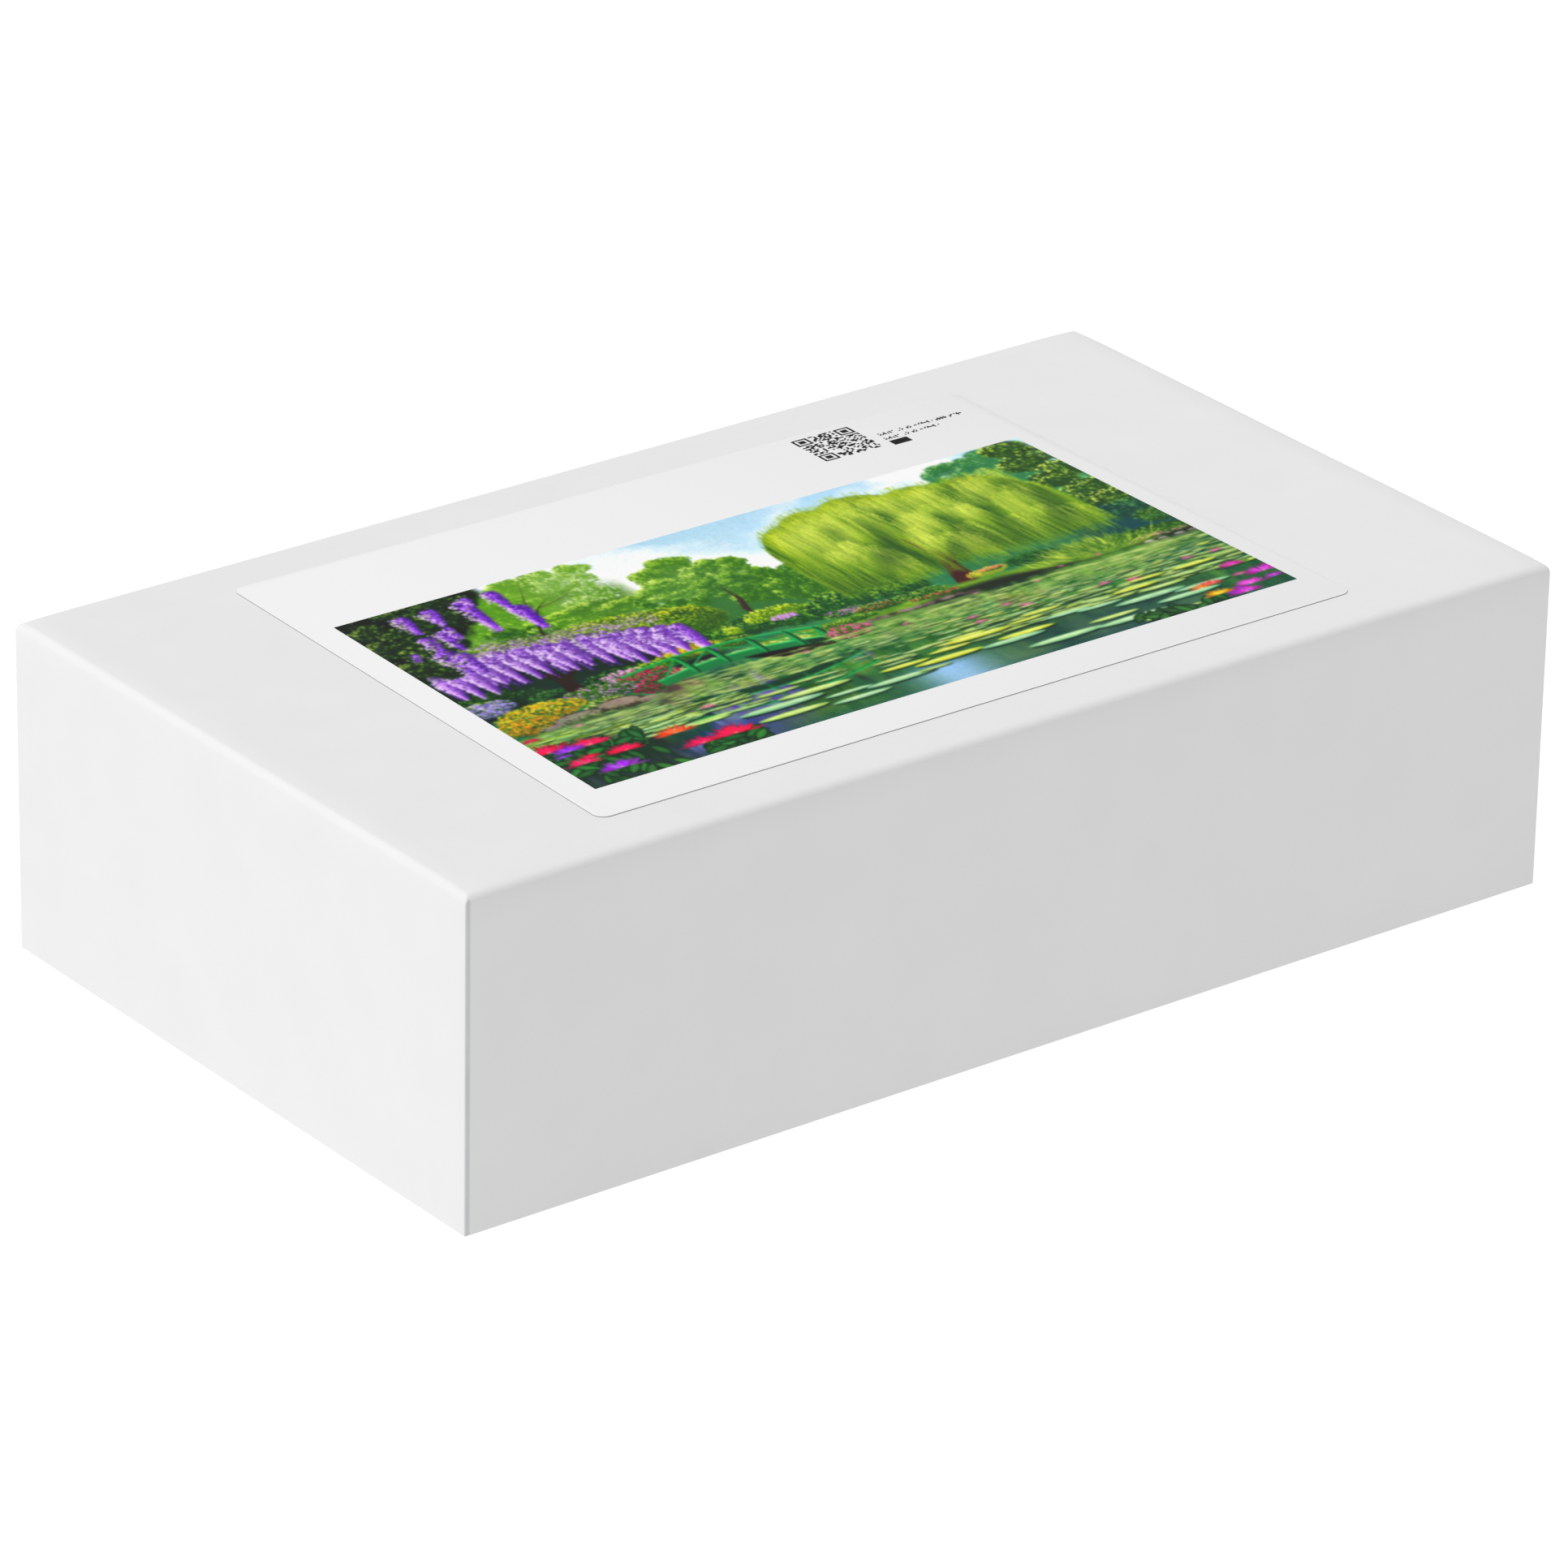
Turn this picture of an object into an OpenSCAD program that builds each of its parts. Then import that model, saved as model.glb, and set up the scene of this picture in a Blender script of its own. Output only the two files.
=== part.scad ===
// Boxed jigsaw puzzle: a rigid board tray with a full-depth lift-off lid, a picture label on top,
// and a sealed film bag of loose pieces inside. Long side along X, front towards -Y, floor at Z = 0.

/* [Box] */
// Outside length of the closed box
box_w = 308; // [250:1:370]
// Outside depth of the closed box
box_d = 176; // [152:1:212]
// Height of the closed box up to the wrapped top panel
box_h = 83; // [68:1:100]
// Thickness of the board in lid and tray
board_t = 1.8; // [1.4:0.02:2.4]
// Thickness of the white paper wrap
wrap_t = 0.2; // [0.15:0.01:0.3]
// Radius of the upright corners over the wrap
corner_r = 1.2; // [1:0.1:2]
// Width of the paper turned in over each rim
turn_in = 16; // [10:1:22]
// Width of the paper turned under the tray
turn_under = 15; // [10:1:20]
// Free play between lid and tray on each side
slip = 0.5; // [0.3:0.05:1]
// Height of the lid's rim above the floor
rim_lift = 1; // [0.5:0.1:3]
// Gap between the tray's rim and the inside of the lid
seat_gap = 0.05; // [0.02:0.01:0.3]
// Width of the open cut between two folded board walls
fold_gap = 0.1; // [0.05:0.05:0.4]

/* [Corner stays] */
// Length of each leg of a stay
stay_leg = 20; // [12:1:26]
// Thickness of the stay tape, pressed flush into the board
stay_t = 0.15; // [0.1:0.01:0.3]
// Bare board above and below a stay
stay_end = 4; // [2:1:10]

/* [Label] */
// Length of the label
label_w = 210; // [170:1:240]
// Depth of the label
label_d = 148; // [118:1:150]
// Corner radius of the label
label_r = 3; // [1:0.5:8]
// Thickness of the label
label_t = 0.25; // [0.1:0.05:0.5]

/* [Puzzle] */
// Pieces along the long side of the puzzle
columns = 21; // [17:1:25]
// Pieces along the short side of the puzzle
rows = 12; // [10:1:14]
// Length of one piece between its seams
piece_w = 26; // [20:0.2:32]
// Depth of one piece between its seams
piece_d = 24; // [20:0.2:29]
// Thickness of a piece
piece_t = 2; // [1.6:0.1:2.4]
// Width of the cut between two pieces
kerf = 0.15; // [0.05:0.05:0.3]
// Radius of the smallest knob head
knob_small = 2.6; // [2.2:0.1:2.8]
// Radius of the largest knob head
knob_large = 3.1; // [2.8:0.02:3.8]
// Furthest that a knob stands off the middle of its side
knob_slide = 1.6; // [0:0.1:2.5]

/* [Bag] */
// Thickness of the bag's film
film_t = 0.1; // [0.06:0.01:0.2]
// Space between the bag and the paper turned in around it
bag_play = 2; // [1:0.5:5]
// Radius of the bag's upright corners
bag_r = 6; // [3:0.5:8]
// Gap between pieces, and between them and the bag
loose_gap = 0.1; // [0.05:0.05:0.3]
// Steepest lean of a loose piece, in degrees
lean_max = 3.4; // [1:0.1:4]

/* [Hidden] */
$fn = 48;
// reach past a face that a cut has to clear
cut = 1;

// the lid, from its top panel inwards
lid_board_w = box_w - 2 * wrap_t;
lid_board_d = box_d - 2 * wrap_t;
lid_in_w = lid_board_w - 2 * board_t;
lid_in_d = lid_board_d - 2 * board_t;
lid_board_top = box_h - wrap_t;
lid_board_low = rim_lift + wrap_t;
lid_ceiling = lid_board_top - board_t;

// the tray, which the turned-in paper of the lid slides over
tray_w = lid_in_w - 2 * (wrap_t + slip);
tray_d = lid_in_d - 2 * (wrap_t + slip);
tray_h = lid_ceiling - seat_gap;
tray_board_w = tray_w - 2 * wrap_t;
tray_board_d = tray_d - 2 * wrap_t;
tray_board_top = tray_h - wrap_t;
tray_in_w = tray_board_w - 2 * board_t;
tray_in_d = tray_board_d - 2 * board_t;
tray_floor = wrap_t + board_t;
board_r = corner_r - wrap_t;

// the knobs: how far the head's middle stands out, and half the neck's width, as shares of its radius
head_out = 1.15;
neck_half = 0.55;
// furthest point of a piece from its middle, whichever way its knobs go
piece_reach = max(
    norm([max(piece_w, piece_d) / 2 + head_out * knob_large, knob_slide]) + knob_large,
    norm([piece_w, piece_d]) / 2
);
piece_count = columns * rows;

// the bag and the layers that the loose pieces lie in
bag_w = tray_in_w - 2 * (wrap_t + bag_play);
bag_d = tray_in_d - 2 * (wrap_t + bag_play);
bag_low = tray_floor + loose_gap;
heap_w = bag_w - 2 * (film_t + loose_gap);
heap_d = bag_d - 2 * (film_t + loose_gap);
spot = 2 * piece_reach + loose_gap;
across = floor(heap_w / spot);
deep = floor(heap_d / spot);
spare_w = heap_w - across * spot;
spare_d = heap_d - deep * spot;
layer_h = piece_t * cos(lean_max) + 2 * piece_reach * sin(lean_max) + loose_gap;
layers = ceil(piece_count / (across * deep));
heap_low = bag_low + film_t + loose_gap;
bag_h = layers * layer_h + 2 * (film_t + loose_gap);

CORNERS = [
    ["front_left", -1, -1],
    ["front_right", 1, -1],
    ["back_left", -1, 1],
    ["back_right", 1, 1]
];

// ---- chance that is the same every time ----
function shuffled(number) = (number * 16807) % 2147483647;
function mixed(number) = shuffled(shuffled(shuffled(shuffled(number + 1000))));
// a value from low to high that depends only on the whole number given
function chance(number, low, high) = low + (high - low) * mixed(number) / 2147483647;

// ---- outlines ----
module rounded_sheet(w, d, r) {
    square([w - 2 * r, d], center = true);
    square([w, d - 2 * r], center = true);
    for (x = [-1, 1], y = [-1, 1])
        translate([x * (w / 2 - r), y * (d / 2 - r)]) circle(r);
}

module block(w, d, r, low, high) {
    translate([0, 0, low]) linear_extrude(high - low) rounded_sheet(w, d, r);
}

module cavity(w, d, low, high) {
    translate([-w / 2, -d / 2, low]) cube([w, d, high - low]);
}

// ---- board shells ----
// A folded tray: one panel and four walls that meet in open cuts at the corners.
// The short walls stand between the long ones, and the cuts run from the panel to the rim.
module wall_cuts(w, d, low, high) {
    for (x = [-1, 1], y = [-1, 1])
        translate([x * (w / 2 - board_t / 2), y * (d / 2 - board_t - fold_gap / 2), (low + high) / 2])
            cube([board_t + cut, fold_gap, high - low], center = true);
}

// the L of tape around one upright corner
module stay(w, d, low, high, side_x, side_y) {
    translate([0, 0, low + stay_end])
        linear_extrude(high - low - 2 * stay_end)
            intersection() {
                difference() {
                    rounded_sheet(w, d, board_r);
                    rounded_sheet(w - 2 * stay_t, d - 2 * stay_t, board_r - stay_t);
                }
                translate([side_x * w / 2, side_y * d / 2]) square(2 * stay_leg, center = true);
            }
}

module stays(w, d, low, high) {
    for (corner = CORNERS) stay(w, d, low, high, corner[1], corner[2]);
}

// ---- tray ----
module base_board() {
    color("tan") difference() {
        block(tray_board_w, tray_board_d, board_r, wrap_t, tray_board_top);
        cavity(tray_in_w, tray_in_d, tray_floor, tray_board_top + cut);
        wall_cuts(tray_board_w, tray_board_d, tray_floor, tray_board_top + cut);
        stays(tray_board_w, tray_board_d, tray_floor, tray_board_top);
    }
}

module base_stay(corner) {
    color("burlywood")
        stay(tray_board_w, tray_board_d, tray_floor, tray_board_top, corner[1], corner[2]);
}

// Paper over the four walls, turned in over the rim and turned under the tray.
module base_wrap() {
    color("white") difference() {
        block(tray_w, tray_d, corner_r, 0, tray_h);
        difference() {
            block(tray_board_w, tray_board_d, board_r, wrap_t, tray_board_top);
            cavity(tray_in_w, tray_in_d, tray_board_top - turn_in, tray_board_top + cut);
        }
        cavity(
            tray_in_w - 2 * wrap_t, tray_in_d - 2 * wrap_t,
            tray_board_top - turn_in - cut, tray_h + cut
        );
        cavity(tray_w - 2 * turn_under, tray_d - 2 * turn_under, -cut, wrap_t + cut);
    }
}

// The sheet that fills the frame of paper turned under.
module base_bottom_sheet() {
    color("whitesmoke")
        cavity(tray_w - 2 * (turn_under + slip), tray_d - 2 * (turn_under + slip), 0, wrap_t);
}

// ---- lid ----
module lid_board() {
    color("tan") difference() {
        block(lid_board_w, lid_board_d, board_r, lid_board_low, lid_board_top);
        cavity(lid_in_w, lid_in_d, lid_board_low - cut, lid_ceiling);
        wall_cuts(lid_board_w, lid_board_d, lid_board_low - cut, lid_ceiling);
        stays(lid_board_w, lid_board_d, lid_board_low, lid_ceiling);
    }
}

module lid_stay(corner) {
    color("burlywood")
        stay(lid_board_w, lid_board_d, lid_board_low, lid_ceiling, corner[1], corner[2]);
}

// Paper over the top panel and the four walls, turned in over the rim.
module lid_wrap() {
    color("white") difference() {
        block(box_w, box_d, corner_r, rim_lift, box_h);
        difference() {
            block(lid_board_w, lid_board_d, board_r, lid_board_low, lid_board_top);
            cavity(lid_in_w, lid_in_d, lid_board_low - cut, lid_board_low + turn_in);
        }
        cavity(
            lid_in_w - 2 * wrap_t, lid_in_d - 2 * wrap_t,
            rim_lift - cut, lid_board_low + turn_in + cut
        );
    }
}

module label() {
    color("forestgreen") block(label_w, label_d, label_r, box_h, box_h + label_t);
}

// ---- bag ----
// A closed pouch of clear film, taken here as a plain thin shell around the heap.
module piece_bag() {
    color("lightcyan", 0.4) difference() {
        block(bag_w, bag_d, bag_r, bag_low, bag_low + bag_h);
        block(
            bag_w - 2 * film_t, bag_d - 2 * film_t, bag_r - film_t,
            bag_low + film_t, bag_low + bag_h - film_t
        );
    }
}

// ---- puzzle pieces ----
// Each seam between two neighbours has a number, and its knob follows from that number.
function seam_right(column, row) = 1 + 2 * (row * columns + column);
function seam_up(column, row) = 2 + 2 * (row * columns + column);
function knob_way(seam) = chance(seam * 5, 0, 1) < 0.5 ? -1 : 1;
function knob_radius(seam) = chance(seam * 5 + 1, knob_small, knob_large);
function knob_offset(seam) = chance(seam * 5 + 2, -knob_slide, knob_slide);

// a round head on a straight neck, standing out along +X from a seam along Y
module knob(radius, grow) {
    translate([head_out * radius, 0]) circle(radius + grow);
    translate([-kerf, -neck_half * radius - grow])
        square([head_out * radius + kerf, 2 * (neck_half * radius + grow)]);
}

// one side of a piece: the knob of the seam, put where that side lies
module side_knob(seam, turn, distance, way, grow) {
    rotate(turn) translate([distance, 0])
        mirror([way > 0 ? 0 : 1, 0]) translate([0, (turn % 180 == 0 ? 1 : -1)
            * (turn >= 180 ? -1 : 1) * knob_offset(seam)])
            knob(knob_radius(seam), grow);
}

// [has a neighbour, seam number, turn of the side, distance to it, way the knob goes seen from here]
function sides_of(column, row) = [
    [column < columns - 1, seam_right(column, row), 0, piece_w / 2, 1],
    [row < rows - 1, seam_up(column, row), 90, piece_d / 2, 1],
    [column > 0, seam_right(column - 1, row), 180, piece_w / 2, -1],
    [row > 0, seam_up(column, row - 1), 270, piece_d / 2, -1]
];

module piece_outline(column, row) {
    difference() {
        union() {
            square([piece_w - kerf, piece_d - kerf], center = true);
            for (side = sides_of(column, row))
                if (side[0] && side[4] * knob_way(side[1]) > 0)
                    side_knob(side[1], side[2], side[3], 1, -kerf / 2);
        }
        for (side = sides_of(column, row))
            if (side[0] && side[4] * knob_way(side[1]) < 0)
                side_knob(side[1], side[2], side[3], -1, kerf / 2);
    }
}

// where piece number n lies in the bag: the pieces are dealt over the layers out of order
function deal(n) = (n * 101 + 37) % piece_count;
function heap_place(spot_number, n) =
    let (
        layer = floor(spot_number / (across * deep)),
        in_layer = spot_number % (across * deep),
        i = in_layer % across,
        j = floor(in_layer / across)
    ) [
        -heap_w / 2 + (i + 0.5) * spot + spare_w * (i + chance(n * 11 + 3, 0, 1)) / across,
        -heap_d / 2 + (j + 0.5) * spot + spare_d * (j + chance(n * 11 + 4, 0, 1)) / deep,
        heap_low + (layer + 0.5) * layer_h
    ];

module loose_piece(column, row) {
    n = row * columns + column;
    lean_way = chance(n * 11 + 5, 0, 360);
    translate(heap_place(deal(n), n))
        rotate(chance(n * 11 + 6, 0, lean_max), [cos(lean_way), sin(lean_way), 0])
            rotate([chance(n * 11 + 7, 0, 1) < 0.5 ? 180 : 0, 0, chance(n * 11 + 8, 0, 360)])
                linear_extrude(piece_t, center = true) piece_outline(column, row);
}

module corner_pieces() {
    color("seagreen")
        for (column = [0, columns - 1], row = [0, rows - 1]) loose_piece(column, row);
}

module row_of_pieces(row) {
    for (column = [1 : columns - 2]) loose_piece(column, row);
}

module column_of_pieces(column) {
    for (row = [1 : rows - 2]) loose_piece(column, row);
}

module top_border_pieces() {
    color("skyblue") row_of_pieces(rows - 1);
}

module bottom_border_pieces() {
    color("darkgreen") row_of_pieces(0);
}

module left_border_pieces() {
    color("mediumpurple") column_of_pieces(0);
}

module right_border_pieces() {
    color("olivedrab") column_of_pieces(columns - 1);
}

// The rows are counted from the bottom border, which is row 1.
module inner_pieces_row(row) {
    color(row % 2 == 0 ? "yellowgreen" : "teal") row_of_pieces(row);
}

base_board();
base_wrap();
base_bottom_sheet();
for (corner = CORNERS)
    base_stay(corner);
lid_board();
lid_wrap();
label();
for (corner = CORNERS)
    lid_stay(corner);
piece_bag();
corner_pieces();
top_border_pieces();
bottom_border_pieces();
left_border_pieces();
right_border_pieces();
for (row = [1 : rows - 2])
    inner_pieces_row(row);
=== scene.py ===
import bpy
import math
import numpy as np
from mathutils import Vector, Matrix, noise


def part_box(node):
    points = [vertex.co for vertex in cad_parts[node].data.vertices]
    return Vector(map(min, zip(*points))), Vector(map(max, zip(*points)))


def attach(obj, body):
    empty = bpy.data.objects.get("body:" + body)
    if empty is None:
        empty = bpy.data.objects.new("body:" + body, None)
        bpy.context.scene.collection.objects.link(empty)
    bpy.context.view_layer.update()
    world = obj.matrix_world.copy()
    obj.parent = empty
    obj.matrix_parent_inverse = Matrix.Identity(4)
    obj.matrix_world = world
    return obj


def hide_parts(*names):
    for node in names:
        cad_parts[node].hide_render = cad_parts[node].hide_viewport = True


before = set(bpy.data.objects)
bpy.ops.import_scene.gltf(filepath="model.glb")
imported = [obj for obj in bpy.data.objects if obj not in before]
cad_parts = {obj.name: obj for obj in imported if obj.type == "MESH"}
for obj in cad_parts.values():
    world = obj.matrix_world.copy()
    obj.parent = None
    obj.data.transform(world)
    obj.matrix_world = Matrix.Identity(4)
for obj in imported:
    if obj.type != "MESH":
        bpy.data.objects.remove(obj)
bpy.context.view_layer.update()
MM = 0.001

# ---- Camera ----
# A long lens from the front left, 25 degrees above the floor, with the horizon a degree off
# level. Its turn and height are those at which the box's three seen edges line up.
view_turn = math.radians(-37.66)
view_rise = math.radians(24.99)
view_roll = math.radians(1.056)
view_distance = 2.2055
view_shift = (-0.00076, 0.03119)
away = Vector((
    math.sin(view_turn) * math.cos(view_rise),
    -math.cos(view_turn) * math.cos(view_rise),
    math.sin(view_rise),
))
level = Vector((math.cos(view_turn), math.sin(view_turn), 0))
upright = away.cross(level)
camera_right = level * math.cos(view_roll) + upright * math.sin(view_roll)
camera_up = upright * math.cos(view_roll) - level * math.sin(view_roll)
camera_data = bpy.data.cameras.new("studio_camera")
camera_data.sensor_width = 36
camera_data.lens = 217.76
camera_data.clip_end = 50
camera = bpy.data.objects.new("studio_camera", camera_data)
bpy.context.collection.objects.link(camera)
camera.matrix_world = Matrix.Translation(
    away * view_distance + level * view_shift[0] + upright * view_shift[1]
) @ Matrix((camera_right, camera_up, away)).transposed().to_4x4()
bpy.context.scene.camera = camera


# ---- Floor ----
# A sweep of white paper that glows a little, as one does under studio lamps, so that it stays
# white right up to the box.
def linear(code, alpha=1.0):
    """The linear colour of an sRGB hex code."""
    parts = [int(code[i:i + 2], 16) / 255 for i in (1, 3, 5)]
    return [p / 12.92 if p <= 0.04045 else ((p + 0.055) / 1.055) ** 2.4 for p in parts] + [alpha]


def add_node(tree, kind, settings=None, **links):
    """Adds a node. Settings name its properties or, with a capital, its sockets, and a link gives a
    socket's source: a node, whose first output is used, or a (node, output name) pair."""
    node = tree.nodes.new(kind)
    for key, value in (settings or {}).items():
        if key in node.inputs:
            node.inputs[key].default_value = value
        else:
            setattr(node, key, value)
    for key, source in links.items():
        output = source[0].outputs[source[1]] if isinstance(source, tuple) else source.outputs[0]
        socket = node.inputs[int(key[1:])] if key[1:].isdigit() else node.inputs[key.replace("_", " ")]
        tree.links.new(output, socket)
    return node


def new_material(name):
    """A material with one Principled shader. Gives the material, its node tree and the shader."""
    material = bpy.data.materials.new(name)
    material.use_nodes = True
    tree = material.node_tree
    return material, tree, tree.nodes["Principled BSDF"]


bpy.ops.object.select_all(action="DESELECT")
bpy.ops.mesh.primitive_plane_add(size=14)
floor = bpy.context.active_object
floor.name = "studio_floor"
floor_paper, tree, shader = new_material("white_studio_paper")
shader.inputs["Base Color"].default_value = linear("#505050")
shader.inputs["Roughness"].default_value = 0.9
shader.inputs["Emission Color"].default_value = linear("#ffffff")
shader.inputs["Emission Strength"].default_value = 0.97
floor.data.materials.append(floor_paper)

# ---- Light ----
# An even white room, and one large soft lamp far off on the left, high up and a little behind, so
# that it lights the top and the left end evenly and misses the front.
room = bpy.data.worlds.new("white_room")
bpy.context.scene.world = room
room.use_nodes = True
room.node_tree.nodes["Background"].inputs["Color"].default_value = linear("#ffffff")
room.node_tree.nodes["Background"].inputs["Strength"].default_value = 0.434
lamp_data = bpy.data.lights.new("soft_lamp", "SUN")
lamp_data.angle = math.radians(24)
lamp_data.energy = 1.96
lamp = bpy.data.objects.new("soft_lamp", lamp_data)
bpy.context.collection.objects.link(lamp)
lamp.location = (-0.93, 0.3, 1.75)
lamp.rotation_euler = (-lamp.location).to_track_quat("-Z", "Y").to_euler()
bpy.context.scene.view_settings.view_transform = "Standard"

# ---- Lid board ----
# Greyboard, 1.8 mm, scored half through and folded down on four sides into a tray. The fold
# rounds the top edges a little, and the walls meet in open cuts at the corners.
board = 1.8 * MM
paper = 0.2 * MM
fold_round = 2.0 * MM
upright_round = 0.5 * MM
corner_gap = 0.25 * MM
board_slices = 100 * MM


def open_mesh():
    """Puts the active piece in edit mode."""
    bpy.ops.object.mode_set(mode="EDIT")


def close_mesh():
    """Puts the active piece back in object mode."""
    bpy.ops.object.mode_set(mode="OBJECT")


def pick(mesh, parts, mode, test):
    """Selects the vertices, edges or faces that pass the test and nothing else, in object mode."""
    bpy.context.tool_settings.mesh_select_mode = [mode == kind for kind in ("VERT", "EDGE", "FACE")]
    for all_of_kind in (mesh.polygons, mesh.edges, mesh.vertices):
        all_of_kind.foreach_set("select", [False] * len(all_of_kind))
    for part in parts:
        part.select = test(part)


def pick_edges(mesh, test):
    """Selects the edges whose ends pass the test together."""
    points = mesh.vertices
    pick(mesh, mesh.edges, "EDGE", lambda edge: test(*(points[i].co for i in edge.vertices)))


def pick_faces(mesh, test):
    """Selects the faces whose middle passes the test."""
    pick(mesh, mesh.polygons, "FACE", lambda face: test(face.center))


def at_height(z):
    """A test for edges that lie at this height."""
    return lambda a, b: abs(a.z - z) < MM / 20 and abs(b.z - z) < MM / 20


def upright_edge(a, b):
    return abs(a.z - b.z) > MM / 10


def add_block(name, low, high):
    """A cube primitive from corner to corner, with its place in its mesh."""
    bpy.ops.object.select_all(action="DESELECT")
    low, high = Vector(low), Vector(high)
    bpy.ops.mesh.primitive_cube_add(size=1, location=(low + high) / 2, scale=high - low)
    piece = bpy.context.active_object
    piece.name = piece.data.name = name
    bpy.ops.object.transform_apply(location=True, rotation=True, scale=True)
    return piece


def slice_mesh(planes):
    """Cuts the mesh in edit mode along planes, each given by a point and its normal."""
    for at, normal in planes:
        bpy.ops.mesh.select_all(action="SELECT")
        bpy.ops.mesh.bisect(plane_co=at, plane_no=normal)


def even_planes(low, high, step):
    """Planes that cut a box into even slices of about this step along each of its sides."""
    planes = []
    for axis in range(3):
        long = high[axis] - low[axis]
        count = int(long / step)
        for k in range(1, count):
            at, normal = [0, 0, 0], [0, 0, 0]
            at[axis], normal[axis] = low[axis] + long * k / count, 1
            planes.append((at, normal))
    return planes


def fold_tray(name, low, high, opening, rounds, slices):
    """An open tray without thickness, mouth down (-1) or up (1). Its upright and folded edges are
    rounded, and it is sliced finely enough for its paper to be a little uneven."""
    piece = add_block(name, low, high)
    mesh = piece.data
    mouth = low[2] if opening < 0 else high[2]
    panel = high[2] if opening < 0 else low[2]
    upright, fold = rounds
    pick_faces(mesh, lambda middle: abs(middle.z - mouth) < MM / 10)
    open_mesh()
    bpy.ops.mesh.delete(type="ONLY_FACE")
    close_mesh()
    weight = mesh.attributes.new("bevel_weight_edge", "FLOAT", "EDGE")
    for edge in mesh.edges:
        a, b = (mesh.vertices[i].co for i in edge.vertices)
        on_fold = float(at_height(panel)(a, b))
        weight.data[edge.index].value = upright / fold if upright_edge(a, b) else on_fold
    rounding = piece.modifiers.new("folds", "BEVEL")
    rounding.width = fold
    rounding.segments = 5
    rounding.limit_method = "WEIGHT"
    bpy.ops.object.modifier_apply(modifier="folds")
    open_mesh()
    bpy.ops.mesh.select_mode(type="EDGE")
    slice_mesh(even_planes(low, high, slices))
    close_mesh()
    return piece


def finish_shell(piece, thickness, offset):
    """Gives an open shell its wall and its normals, and smooths all but its sharp edges."""
    bpy.ops.object.select_all(action="DESELECT")
    piece.select_set(True)
    bpy.context.view_layer.objects.active = piece
    wall = piece.modifiers.new("wall", "SOLIDIFY")
    wall.thickness = thickness
    wall.offset = offset
    wall.use_even_offset = True
    bpy.ops.object.modifier_apply(modifier="wall")
    bpy.ops.object.shade_smooth_by_angle(angle=math.radians(40))


def greyboard():
    """Greyboard: pulp of mixed waste paper, pressed in layers. Dull warm grey, with short fibres and
    flecks of ink and brown paper, and a faintly uneven face."""
    material, tree, shader = new_material("recycled_greyboard")
    place = add_node(tree, "ShaderNodeTexCoord")
    pulp = add_node(tree, "ShaderNodeTexNoise", {"Scale": 220, "Detail": 6}, Vector=(place, "Object"))
    cloud = add_node(tree, "ShaderNodeTexNoise", {"Scale": 35, "Detail": 3}, Vector=(place, "Object"))
    fleck = add_node(tree, "ShaderNodeTexNoise", {"Scale": 1400, "Detail": 2}, Vector=(place, "Object"))
    tone = add_node(tree, "ShaderNodeValToRGB", None, Fac=pulp)
    tone.color_ramp.elements[0].color = linear("#8d8778")
    tone.color_ramp.elements[1].color = linear("#b4ad9c")
    patch = add_node(tree, "ShaderNodeMix", {"data_type": "RGBA", "blend_type": "SOFT_LIGHT"},
                     _0=cloud, _6=tone, _7=cloud)
    speck = add_node(tree, "ShaderNodeValToRGB", None, Fac=fleck)
    speck.color_ramp.elements[0].position = 0.33
    speck.color_ramp.elements[0].color = linear("#5a5348")
    speck.color_ramp.elements[1].position = 0.4
    speck.color_ramp.elements[1].color = linear("#ffffff")
    dotted = add_node(tree, "ShaderNodeMix", {"data_type": "RGBA", "blend_type": "MULTIPLY"},
                      _6=(patch, "Result"), _7=speck)
    dotted.inputs[0].default_value = 0.6
    rough = add_node(tree, "ShaderNodeBump", {"Strength": 0.35, "Distance": 0.0001}, Height=pulp)
    tree.links.new(dotted.outputs["Result"], shader.inputs["Base Color"])
    tree.links.new(rough.outputs[0], shader.inputs["Normal"])
    shader.inputs["Roughness"].default_value = 0.92
    shader.inputs["IOR"].default_value = 1.45
    return material


def cut_corners(piece, high, panel_z):
    """Opens the cuts between the walls of a shell that has no thickness yet: below its fold each
    short wall stops just short of the long ones."""
    mesh = piece.data
    cut_y = high[1] - board - corner_gap
    mouthward = -1 if panel_z == high[2] else 1
    cut_z = panel_z + mouthward * (fold_round + board)
    open_mesh()
    slice_mesh([((0, cut_y, 0), (0, 1, 0)), ((0, -cut_y, 0), (0, 1, 0)), ((0, 0, cut_z), (0, 0, 1))])
    close_mesh()
    pick_faces(mesh, lambda middle: abs(middle.x) > high[0] - MM / 20 and abs(middle.y) > cut_y
               and (middle.z - cut_z) * mouthward > 0)
    open_mesh()
    bpy.ops.mesh.delete(type="FACE")
    close_mesh()


board_grey = greyboard()
lid_low, lid_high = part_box("lid_board")
lid_board = fold_tray("folded_lid_board", lid_low, lid_high, -1, (0, fold_round), board_slices)
cut_corners(lid_board, lid_high, lid_high[2])
finish_shell(lid_board, board, -1)
lid_board.data.materials.append(board_grey)
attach(lid_board, "lid")
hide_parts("lid_board")

# ---- Lid corner stays ----
# Four strips of gummed kraft tape, folded round the corners of the board to hold its walls up.
# They keep the shape that the frame gives them and get the tape's brown paper.


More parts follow.
